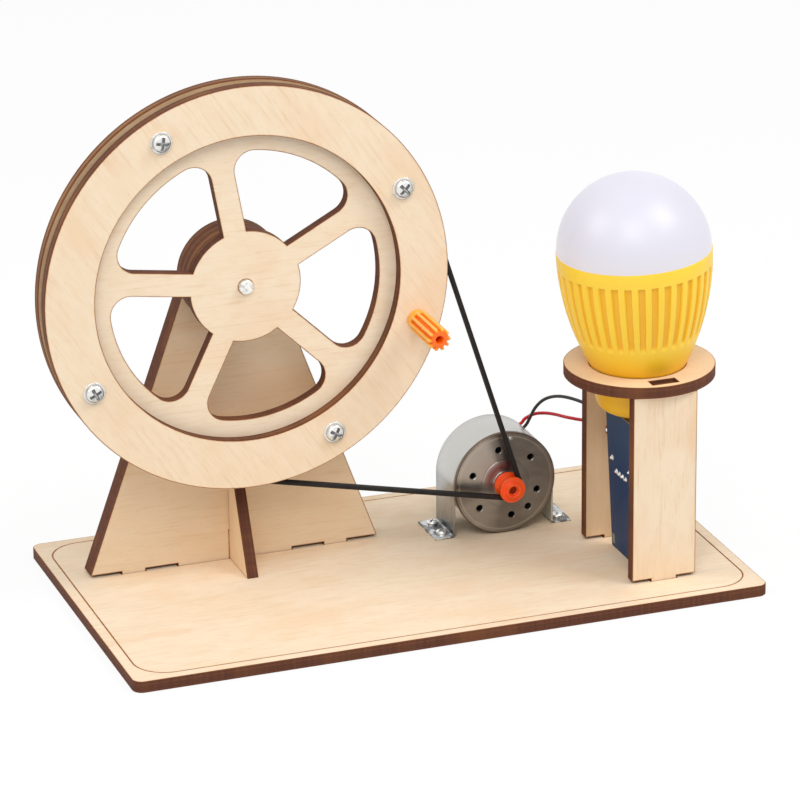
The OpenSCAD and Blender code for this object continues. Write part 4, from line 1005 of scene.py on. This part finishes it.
iron = moulded("dull_iron", srgb(104, 102, 104), srgb(78, 76, 78), 0.5, Metallic=0.7)
bronze = moulded("bronze", srgb(186, 142, 82), srgb(150, 108, 60), 0.4, Metallic=0.9)
SHAFT_SHADED, SHAFT_BRIGHT = srgb(130, 44, 22), srgb(196, 194, 190)
shaft_steel, bench = new_material("shaft_steel")
at = bench.place()
wear = bench.grit(at, 900)
colour = bench.mix(bench.rise(bench.part(at, "Y") / MM, 4.8, 5.4), SHAFT_SHADED, SHAFT_BRIGHT)
bench.surface(colour, 0.3 + wear * 0.15, wear, 0.02, Metallic=1.0)


def dress(material, *nodes):
    """CAD nodes that show as they are, in a material of their own."""
    for node in nodes:
        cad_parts[node].data.materials.clear()
        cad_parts[node].data.materials.append(material)


dress(iron, "motor_magnets", "motor_rotor")
dress(shaft_steel, "motor_shaft")
dress(bronze, "motor_bearing")


# Motor pulley
# Turned from red-orange plastic, with a flange on each side of the belt's groove and a low boss
# in front, whose hole shows the end of the motor's shaft.
PULLEY_GROOVE, PULLEY_FLANGE, PULLEY_BOSS, PULLEY_RECESS, SHAFT = 2.8, 3.96, 2.5, 1.5, 1.0
PULLEY_FRONT, FLANGE_FRONT, RECESS_BACK, PULLEY_BACK = 3.7, 4.6, 4.7, 10.1
FLANGE_IN, GROOVE_FRONT, GROOVE_BACK, FLANGE_OUT = 5.9, 6.5, 8.9, 9.2
PULLEY_RED, PULLEY_CLOUD, PULLEY_BORE_SHADE = srgb(255, 92, 16), srgb(255, 78, 8), srgb(112, 22, 4)
pulley_red, bench, at, clouds, skin = new_plastic("pulley_plastic", 260)
distance = about_motor(bench)[1]
# Painted shade darkens the floor of the recess round the shaft.
colour = bench.coats(PULLEY_RED, (clouds, 0.3, 0.7, 1, PULLEY_CLOUD),
                     (distance, 1.35, 1.05, 1, PULLEY_BORE_SHADE))
bench.surface(colour, 0.36 + (skin - 0.5) * 0.1, skin, 0.012)
turned_piece("motor_pulley_red", pulley_red, "rotor", "pulley_plastic", "motor_pulley",
             motor_x, motor_z,
             [(SHAFT, RECESS_BACK), (PULLEY_RECESS, RECESS_BACK), (PULLEY_RECESS, PULLEY_FRONT),
              (PULLEY_BOSS, PULLEY_FRONT), (PULLEY_BOSS, FLANGE_FRONT),
              (PULLEY_FLANGE, FLANGE_FRONT), (PULLEY_FLANGE, FLANGE_IN),
              (PULLEY_GROOVE, GROOVE_FRONT), (PULLEY_GROOVE, GROOVE_BACK),
              (PULLEY_FLANGE, FLANGE_OUT), (PULLEY_FLANGE, PULLEY_BACK), (SHAFT, PULLEY_BACK)],
             0.28, closed=True)


# Motor strap
# Bright sheet steel bent over the motor into an arch with two feet, each held down on the
# board by two small screws. Geometry Nodes sets the four screws on a grid.
strap_low, strap_high = cad("motor_strap")
STRAP, STRAP_INSIDE = 0.6, 15.3
strap_r = STRAP_INSIDE + STRAP / 2
foot_half, foot_z = (strap_high[0] - strap_low[0]) / 2, board_top + STRAP / 2
path = [(foot_half, foot_z), (strap_r, foot_z), (strap_r, motor_z)]
arch = arc((0, motor_z), strap_r, 0, 180, 72)
path = np.vstack([eased(path, 1.1, steps=8), arch[1:-1],
                  eased([(-x, z) for x, z in reversed(path)], 1.1, steps=8)])
ahead = np.gradient(path, axis=0)
ahead /= np.linalg.norm(ahead, axis=1)[:, None]
section = box_loop((0, 0), STRAP, strap_high[1] - strap_low[1], 0.14, 2)
rings = [np.column_stack((motor_x + p[0] + section[:, 0] * t[1],
                          (strap_low[1] + strap_high[1]) / 2 + section[:, 1],
                          p[1] - section[:, 0] * t[0])) for p, t in zip(path, ahead)]
STRAP_SHADED, STRAP_LIT = srgb(104, 104, 102), srgb(203, 202, 197)
STRAP_SHINE = srgb(150, 150, 150)
LEG_REFLECTION, FOOT_DARK_REFLECTION, FOOT_GLINT = srgb(200, 198, 184), srgb(104, 106, 108), srgb(214, 216, 218)
strap_steel, bench = new_material("strap_steel")
angle, distance, at = about_motor(bench)
brush, blotch = bench.grit(at, (140, 1500, 140), 3), bench.grit(at, 130, 3)
glints = bench.grit(at, (420, 260, 420))
# Painted light: the steel is lit towards the upper left of the arch and shaded away from it,
# broken by blotches, with a painted highlight on its left side. The lower right leg gets a pale
# painted reflection, and the feet painted dark reflections with glints.
tone = bench.rise(bench.towards(angle, 2.25) + (blotch - 0.5) * 0.6, -0.5, 0.75)
shine = bench.math("MINIMUM", bench.beam(angle, 3.25, 90), 0.6)
leg_reflection = bench.rise(bench.towards(angle, -0.78), 0.84, 0.95)
foot = bench.mix(bench.rise(glints, 0.46, 0.58), FOOT_DARK_REFLECTION, FOOT_GLINT)
colour = bench.mix(shine, bench.mix(tone, STRAP_SHADED, STRAP_LIT), STRAP_SHINE)
colour = bench.mix(leg_reflection * 0.9, colour, LEG_REFLECTION)
colour = bench.coats(colour, (bench.part(at, "Z") / MM, 4.6, 3.9, 1, foot))
bench.surface(colour, 0.3 + (brush - 0.5) * 0.16, brush + blotch, 0.015,
              Metallic=0.9 - leg_reflection * 0.7)
settle(piece("motor_strap_steel", [loft(rings)], [strap_steel], 40), "stand", "steel",
       "motor_strap")

bench, given = new_growth("fixings_on_a_grid", Across="Float", Along="Float", Centre="Vector")
points = bench.node("GeometryNodeMeshGrid", {}, {
    "Size X": given["Across"], "Size Y": given["Along"], "Vertices X": 2, "Vertices Y": 2})
fixings_on_a_grid = end_growth(
    bench, given, moved(bench, copies(bench, given, points, 1.9, 0.5), to=given["Centre"]))
low, high = cad("strap_screws")
STRAP_SCREW_HEAD, STRAP_SCREW_SHANK, strap_top = 1.7, 0.8, board_top + STRAP
screws = screw("strap_screws_zinc", STRAP_SCREW_HEAD, high[2] - board_top - STRAP,
               STRAP_SCREW_SHANK, strap_top - low[2])
across, along = (high - low)[:2] - 2 * STRAP_SCREW_HEAD
grow(screws, fixings_on_a_grid, Across=float(across) * MM, Along=float(along) * MM,
     Centre=metres(*((low + high) / 2)[:2], strap_top), Finish=zinc)
settle(screws, "stand", "zinc", "strap_screws")


# Lamp stand
# Two upright plates of the same plywood, tabbed into the board and into the ring on top, which
# the bulb stands in. The rear plate has a hole for the motor's wires.
ring_low, ring_high = cad("lamp_ring")
lamp_y = (ring_low[1] + ring_high[1]) / 2
LAMP_HOLE, LAMP_HOLE_LEFT, WIRE_HOLE, WIRE_HOLE_AT = 14.15, 0.6, 2.1, (67.5, 37.8)
# The lamp ring gets painted shade.
plywood("lamp_ring_top", "stand", "lamp_ring", "top", ring_high[2],
        circle((lamp_x, lamp_y), (ring_high[0] - ring_low[0]) / 2, 160),
        [circle((lamp_x - LAMP_HOLE_LEFT, lamp_y), LAMP_HOLE, 128)] + post_slots,
        warmth=0.9, grain=8)
left, right, tab_left, tab_right = (post_low[0], post_high[0], lamp_x - POST_TAB / 2,
                                    lamp_x + POST_TAB / 2)
outline = [(left, shoulder_z), (tab_left, shoulder_z), (tab_left, 0), (tab_right, 0),
           (tab_right, shoulder_z), (right, shoulder_z), (right, ring_low[2]),
           (tab_right, ring_low[2]), (tab_right, post_high[2]), (tab_left, post_high[2]),
           (tab_left, ring_low[2]), (left, ring_low[2])]
wire_hole = circle(WIRE_HOLE_AT, WIRE_HOLE, 40)
# Painted shade: heavy on the rear post, slight on the front post.
for name, low, holes, warmth in (("front", post_low[1], [], 0.1),
                                 ("rear", rear_post_low[1], [wire_hole], 1.4)):
    plywood(f"lamp_post_{name}", "stand", f"{name}_post", "front", low, outline, holes,
            grain=90, warmth=warmth)


# Circuit board
# A dark blue board on edge between the posts, with bright solder joints on its left side. On
# its right are the parts and the socket that the bulb plugs into from above. It leans with the
# bulb, so both are made upright and then turned about the lower edge of the lamp ring.
LEAN = 3
pcb_low, pcb_high = np.array((62.0, -29.3, 3.69)), np.array((63.6, -9.3, 49.0))


def leant(made):
    pivot = Matrix.Translation(metres(lamp_x, lamp_y, ring_low[2]))
    made.data.transform(pivot @ Matrix.Rotation(-math.radians(LEAN), 4, "Y") @ pivot.inverted())
    return made


BOARD_BLUE, BOARD_TRACK, BOARD_SHEEN = srgb(10, 54, 98), srgb(22, 72, 118), srgb(70, 92, 120)
BOARD_PAD, BOARD_EDGE = srgb(150, 148, 138), srgb(150, 140, 96)
pcb_blue, bench = new_material("board_blue")
at = bench.place()
across, up = bench.part(at, "Y") / MM, bench.part(at, "Z") / MM
weave = bench.math("SINE", across * 8) * bench.math("SINE", up * 8)
bend = across + bench.math("ABSOLUTE", bench.math("SINE", up * 0.35)) * 2.2
tracks = bench.rise(bench.math("SINE", bend * 2.6), 0.72, 0.86)
pad = bench.band(across, -11.9, -11.7, -10.1, -9.9) * bench.band(up, 4.6, 4.9, 7.6, 7.9)
colour = bench.mix(tracks * 0.35, BOARD_BLUE, BOARD_TRACK)
colour = bench.coats(colour, (up, 26, 44, 0.35, BOARD_SHEEN))
colour = bench.mix(pad * 0.8, colour, BOARD_PAD)
colour = bench.coats(colour, (bench.mark("burn"), 0.5, 0.9, 0.8, BOARD_EDGE))
bench.surface(colour, 0.45 + weave * 0.04, tracks + weave * 0.1, 0.03, Specular_IOR_Level=0.25)
pcb = cut_sheet("circuit_board_blue", "side", pcb_high[0], pcb_high[0] - pcb_low[0],
                box_loop(((pcb_low[1] + pcb_high[1]) / 2, (pcb_low[2] + pcb_high[2]) / 2),
                         pcb_high[1] - pcb_low[1], pcb_high[2] - pcb_low[2], 0.6, 4), [],
                [pcb_blue, pcb_blue])
settle(leant(pcb), "stand", "board_blue", "circuit_board")


def block(low, high, edge, slot=0):
    """A shell of a block with rounded upright edges and eased ends."""
    low, high = np.array(low, float), np.array(high, float)
    size, middle = high - low, (high + low) / 2
    rings = []
    for z, shrink in ((low[2], edge), (low[2] + edge * 0.3, edge * 0.3), (low[2] + edge, 0),
                      (high[2] - edge, 0), (high[2] - edge * 0.3, edge * 0.3),
                      (high[2], edge)):
        loop = box_loop(middle[:2], size[0] - 2 * shrink, size[1] - 2 * shrink, edge, 4)
        rings.append(np.column_stack((loop, np.full(len(loop), z))))
    return loft(rings, slot)


CHIP, CHIP_THICK, CHIP_Z, CAP, CAP_Z, CAP_HEIGHT = 5, 1.6, 16, 2.5, 6, 7
DIODE, DIODE_HEIGHT, PAD, PAD_LENGTH, PAD_Z, PAD_BACK = 2, 4, 0.95, 1.6, (36.9, 39.1), -12.0
face_x, cap_y, diode_y = pcb_high[0], pcb_low[1] + CAP * 1.5, pcb_high[1] - 2 * DIODE
cap_top = CAP_Z + CAP_HEIGHT
black_plastic = moulded("black_plastic", srgb(34, 34, 36), srgb(46, 46, 48), 0.45)
can = [(0, CAP_Z), (CAP, CAP_Z), (CAP, CAP_Z + 1), (CAP - 0.25, CAP_Z + 1.3), (CAP, CAP_Z + 1.6),
       (CAP, cap_top), (CAP - 0.5, cap_top), (CAP - 0.6, cap_top - 0.15), (0, cap_top - 0.15)]
pad = [(0, PAD_BACK), (PAD, PAD_BACK), (PAD * 0.8, PAD_BACK + PAD_LENGTH),
       (0, PAD_BACK + PAD_LENGTH)]
shells = [block((face_x, lamp_y - CHIP / 2, CHIP_Z),
                (face_x + CHIP_THICK, lamp_y + CHIP / 2, CHIP_Z + CHIP), 0.2),
          laid(turned(eased(can, 0.15), 48), (face_x + CAP, cap_y, 0)),
          block((face_x, diode_y, CAP_Z),
                (face_x + DIODE, diode_y + DIODE, CAP_Z + DIODE_HEIGHT), 0.25)]
shells += [laid(turned(eased(pad, 0.3), 32, 1), (face_x + PAD, 0, z), "y") for z in PAD_Z]
settle(leant(piece("board_parts_black", shells, [black_plastic, solder])), "stand",
       "black_plastic", "board_parts")

bench, given = new_growth("joints_in_rows", Count="Int", Pitch="Float", Pair="Float",
                          Rise="Float", Start="Vector")
number = bench.node("GeometryNodeInputIndex")
in_row = bench.math("LESS_THAN", number, given["Count"])
place = bench.xyz(
    in_row * given["Pitch"] * (number - (given["Count"] - 1) / 2)
    + (1 - in_row) * given["Pair"] * (number - given["Count"] - 0.5),
    given["Rise"] * (1 - in_row))
swell = bench.node("FunctionNodeRandomValue", {"data_type": "FLOAT"}, {
    "Min": 0.86, "Max": 1.08, "ID": number, "Seed": 7}, out=1)
placed = bench.node("GeometryNodeInstanceOnPoints", {}, {
    "Points": bench.node("GeometryNodePoints", {}, {
        "Count": given["Count"] + 2, "Position": place}),
    "Instance": given["Geometry"], "Scale": bench.xyz(swell, swell, 1.0)})
joints_in_rows = end_growth(
    bench, given, moved(bench, placed, (math.pi / 2, 0, -math.pi / 2), given["Start"]))
JOINT, JOINT_HEIGHT, JOINTS_IN_ROW, JOINT_PITCH = 0.92, 0.85, 4, 2.3
PAIR_APART, PAIR_ABOVE, ROW_Z = 13.1, 3.35, 29.75
joint = [(0, -0.2), (JOINT * 0.9, -0.2), (JOINT * 0.92, 0.03), (JOINT * 0.75, 0.14),
         (JOINT * 0.5, 0.36), (JOINT * 0.3, JOINT_HEIGHT * 0.85), (0, JOINT_HEIGHT)]
joints = grow(piece("board_joints_solder", [turned(eased(joint, 0.1), 32)], [solder]),
              joints_in_rows, Count=JOINTS_IN_ROW, Pitch=JOINT_PITCH * MM,
              Pair=PAIR_APART * MM, Rise=PAIR_ABOVE * MM,
              Start=metres(pcb_low[0], lamp_y, ROW_Z), Finish=solder)
settle(leant(joints), "stand", "solder", "board_joints")


SHEET, SOCKET_FLOOR, LEAST_CORNER = 0.3, 2, 0.15
SOCKET_LOW, SOCKET_HIGH = (66.1, -25.85, 30.5), (71.9, -12.75, 48.5)


def usb_sleeve(name, low, high, corner, body, node, floor=None):
    """A sheet-steel sleeve, open at the top. Where it has a floor, that closes it below."""
    (left, front, foot), (right, back, top) = low, high
    rings = []
    for z, grown, rounded in (
            (foot, 0, corner), (top - 0.1, 0, corner), (top, -0.1, corner),
            (top, -SHEET + 0.08, corner - SHEET), (top - 0.1, -SHEET, corner - SHEET),
            (foot + (floor or 0), -SHEET, corner - SHEET)):
        loop = box_loop(((left + right) / 2, (front + back) / 2), right - left + 2 * grown,
                        back - front + 2 * grown, max(rounded, LEAST_CORNER), 5)
        rings.append(np.column_stack((loop, np.full(len(loop), z))))
    made = piece(name, [loft(rings, closed=floor is None)], [steel])
    settle(leant(made), body, "steel", node)


usb_sleeve("usb_socket_steel", SOCKET_LOW, SOCKET_HIGH, 0.8, "stand", "usb_socket", SOCKET_FLOOR)
dress(white_plastic, "socket_tongue")


# Wires
# Two thin stranded wires, one red and one black, from the motor's tags through the hole in the
# rear post to the pads on the circuit board. They hold the curves they were bent to.
WIRE = 1.0
ROUTES = {
    "red": ((44.8, 32.2, 26.8), (44.8, 33.8, 26.8), (45.8, 35.4, 26.9), (48, 36, 27.2),
            (50.6, 34.8, 27.7), (52.5, 33, 28.6), (53.7, 32.2, 30.4), (56.3, 31, 31.9),
            (58.4, 28, 32.9), (60, 24, 33.7), (61, 19, 34.6), (62.4, 14, 35.5),
            (64.5, 9, 36.3), (66.4, 4.6, 36.8), (67.4, 0.6, 36.9), (67.3, -3.2, 36.9),
            (66.3, -6.8, 36.8), (65.8, -9, 36.7), (65.8, -10.4, 36.7)),
    "black": ((47.7, 32.2, 22.9), (47.7, 33.8, 22.9), (48.8, 35.4, 23.3), (50.8, 35.2, 24.6),
              (52.6, 33.6, 26.2), (53.9, 32, 28.4), (54.5, 30.2, 31.4), (55.2, 27.8, 35.2),
              (56.6, 25, 38.4), (58.4, 21.5, 40.5), (60.4, 17, 41.7), (62.8, 10.5, 42.2),
              (65.6, 6, 41.1), (67.2, 2.6, 39.6), (67.6, -0.6, 39), (67.2, -3.6, 38.9),
              (66.2, -7, 38.9), (65.7, -9.2, 38.9), (65.7, -10.4, 38.9))}


def smooth_line(route, steps):
    """Points of a smooth curve through a route's points."""
    p = np.array([route[0], *route, route[-1]], float)
    made = []
    for a, b, c, d in zip(p, p[1:], p[2:], p[3:]):
        for t in np.arange(steps) / steps:
            made.append(0.5 * (2 * b + (c - a) * t + (2 * a - 5 * b + 4 * c - d) * t ** 2
                               + (3 * b - a - 3 * c + d) * t ** 3))
    return np.array(made + [p[-1]])


for name, colour, shade in (("red", srgb(222, 18, 32), srgb(196, 10, 24)),
                            ("black", srgb(44, 41, 42), srgb(30, 28, 29))):
    line = smooth_line(ROUTES[name], 4) * MM
    curve = bpy.data.curves.new(f"{name}_wire_line", "CURVE")
    curve.dimensions = "3D"
    spline = curve.splines.new("POLY")
    spline.points.add(len(line) - 1)
    spline.points.foreach_set("co", np.column_stack((line, np.ones(len(line)))).ravel())
    curve.bevel_depth = WIRE / 2 * MM
    curve.bevel_resolution = 4
    curve.use_fill_caps = True
    curve.materials.append(moulded(f"{name}_insulation", colour, shade, 0.4))
    wire = in_scene(f"{name}_wire_cord", curve)
    settle(wire, "stand", f"{name}_insulation", f"{name}_wire")


# Bulb
# A small plug-in lamp: a hollow yellow moulding with a fluted side and a narrow neck, and a
# frosted half ball on its rim. Geometry Nodes presses the flutes into the turned body.
BULB, SIDE_ARC, NECK, NECK_CORNER, WALL = 22.6, 74.7, 13.1, 4.5, 1.8
RIM_Z, NECK_Z, RING_UNDER = 99.1, 50.3, ring_low[2]
FLUTES, FLUTE_DEPTH, FLUTE_SHARE, FLUTE_LOW, FLUTE_HIGH = 36, 0.8, 0.46, 73.2, 94.8


def side_line(shrunk, low, high, step):
    """The bulging side's (radius, z) points from low to high."""
    z = np.linspace(low, high, max(2, int((high - low) / step) + 1))
    return np.column_stack((BULB - SIDE_ARC + np.sqrt((SIDE_ARC - shrunk) ** 2
                                                      - (RIM_Z - z) ** 2), z))


def neck_line(shrunk, low):
    """The neck's (radius, z) points from the middle of its bottom up to the ring."""
    r = NECK - shrunk
    corner = arc((r - NECK_CORNER, low + NECK_CORNER), NECK_CORNER, -90, 0, 10)
    return np.vstack([[(0, low)], corner, [(r, RING_UNDER - 0.2)]])


lip = 0.3
outside = np.vstack([neck_line(0, NECK_Z), side_line(0, RING_UNDER + 0.3, FLUTE_LOW - 0.4, 1.2),
                     side_line(0, FLUTE_LOW, FLUTE_LOW + 4, 0.3),
                     side_line(0, FLUTE_LOW + 5, FLUTE_HIGH - 1.6, 1.2),
                     side_line(0, FLUTE_HIGH - 1.0, FLUTE_HIGH + 0.4, 0.14),
                     side_line(0, FLUTE_HIGH + 1.4, RIM_Z - lip, 1.3)])
inside = np.vstack([neck_line(WALL, NECK_Z + WALL), side_line(WALL, RING_UNDER + 0.3, RIM_Z - lip,
                                                              6)])[::-1]
rim = [(BULB - 0.08, RIM_Z - 0.08), (BULB - lip, RIM_Z), (BULB - WALL + 0.1, RIM_Z)]
YELLOW, YELLOW_CLOUD = srgb(255, 214, 62), srgb(255, 208, 50)
YELLOW_GROOVE_SHADE, YELLOW_LOW = srgb(241, 178, 24), srgb(246, 190, 22)
yellow, bench, at, clouds, skin = new_plastic("yellow_plastic", 90)
# Painted shade darkens the flutes' grooves.
colour = bench.coats(YELLOW, (clouds, 0.3, 0.75, 0.6, YELLOW_CLOUD),
                     (bench.mark("groove"), 0.25, 0.95, 0.72, YELLOW_GROOVE_SHADE),
                     (bench.part(at, "Z") / MM, 77, 63, 1, YELLOW_LOW))
bench.surface(colour, 0.4 + (clouds - 0.5) * 0.1, skin, 0.01)

bench, given = new_growth("flutes_round_a_body", Count="Float", Share="Float", Depth="Float",
                          Low="Float", High="Float", Phase="Float", Centre="Vector")
at = bench.node("GeometryNodeInputPosition")
spread = bench.vector_math("MULTIPLY", bench.vector_math("SUBTRACT", at, given["Centre"]),
                           (1, 1, 0))
outward = bench.vector_math("NORMALIZE", spread)
up = bench.part(at, "Z")
turn = bench.math("ARCTAN2", bench.part(spread, "Y"), bench.part(spread, "X")) - given["Phase"]
wave = bench.math("COSINE", turn * given["Count"])
limit = bench.math("COSINE", given["Share"] * math.pi)
facing = bench.vector_math("DOT_PRODUCT", bench.node("GeometryNodeInputNormal"), outward,
                           out="Value")
mask = (bench.rise(wave, limit - 0.22, limit + 0.22)
        * bench.rise(up, given["Low"], given["Low"] + 2.6 * MM)
        * (1 - bench.rise(up, given["High"] - 0.45 * MM, given["High"]))
        * bench.math("GREATER_THAN", facing, 0.2))
named = bench.node("GeometryNodeStoreNamedAttribute", {"data_type": "FLOAT", "domain": "POINT"},
                   {"Geometry": given["Geometry"], "Name": "groove", "Value": mask})
inward = bench.node("ShaderNodeVectorMath", {"operation": "SCALE"}, {
    0: outward, "Scale": 0 - mask * given["Depth"]})
flutes_round_a_body = end_growth(bench, given, bench.node("GeometryNodeSetPosition", {}, {
    "Geometry": named, "Offset": inward}))
body = piece("bulb_body_yellow",
             [laid(turned(np.vstack([outside, rim, inside]), 16 * FLUTES), (lamp_x, lamp_y, 0))],
             [yellow])
grow(body, flutes_round_a_body, 50, Count=float(FLUTES), Share=FLUTE_SHARE,
     Depth=FLUTE_DEPTH * MM, Low=FLUTE_LOW * MM, High=FLUTE_HIGH * MM,
     Phase=math.pi * FLUTE_SHARE / FLUTES, Centre=metres(lamp_x, lamp_y, 0), Finish=yellow)
settle(leant(body), "bulb", "yellow_plastic", "bulb_body")

DOME, DOME_WALL, SKIRT = 22.4, 1.2, 2.8
DOME_TINT, DOME_CLOUD, DOME_FOOT = srgb(190, 188, 199), srgb(184, 183, 194), srgb(198, 192, 194)
frosted, bench = new_material("frosted_dome")
at = bench.place()
clouds, skin = bench.grit(at, 60), bench.grit(at, 1800)
colour = bench.coats(DOME_TINT, (clouds, 0.3, 0.7, 0.5, DOME_CLOUD),
                     (bench.part(at, "Z") / MM, 107, 98, 0.7, DOME_FOOT))
# A faint painted glow, the emission, lifts and evens out the dome's shading.
bench.surface(colour, 0.36 + (skin - 0.5) * 0.04, skin, 0.003,
              Emission_Color=srgb(236, 233, 242), Emission_Strength=0.27)
skirt_in = BULB - WALL - 0.2 - DOME_WALL
outer = arc((0, RIM_Z), DOME, 90, 0, 48)
inner = arc((0, RIM_Z), DOME - DOME_WALL, 8, 90, 32)
dome = np.vstack([outer, [(BULB - WALL - 0.2, RIM_Z - 0.02), (BULB - WALL - 0.3, RIM_Z - SKIRT),
                          (skirt_in, RIM_Z - SKIRT), (skirt_in, RIM_Z + 2)], inner])
dome[[0, -1], 0] = 0
settle(leant(piece("bulb_dome_frosted", [laid(turned(dome, 160), (lamp_x, lamp_y, 0))],
                   [frosted], 40)), "bulb", "frosted_plastic", "bulb_dome")

PLUG_LOW, PLUG_HIGH = (66.75, -25.3, 38.3), (71.25, -13.3, 52.3)
usb_sleeve("usb_plug_steel", PLUG_LOW, PLUG_HIGH, 0.5, "bulb", "usb_plug")
chip_yellow = moulded("chip_phosphor", srgb(240, 226, 120), srgb(226, 206, 90), 0.5)
dress(white_plastic, "led_board")
dress(chip_yellow, "led_chips")
dress(black_plastic, "plug_insert")
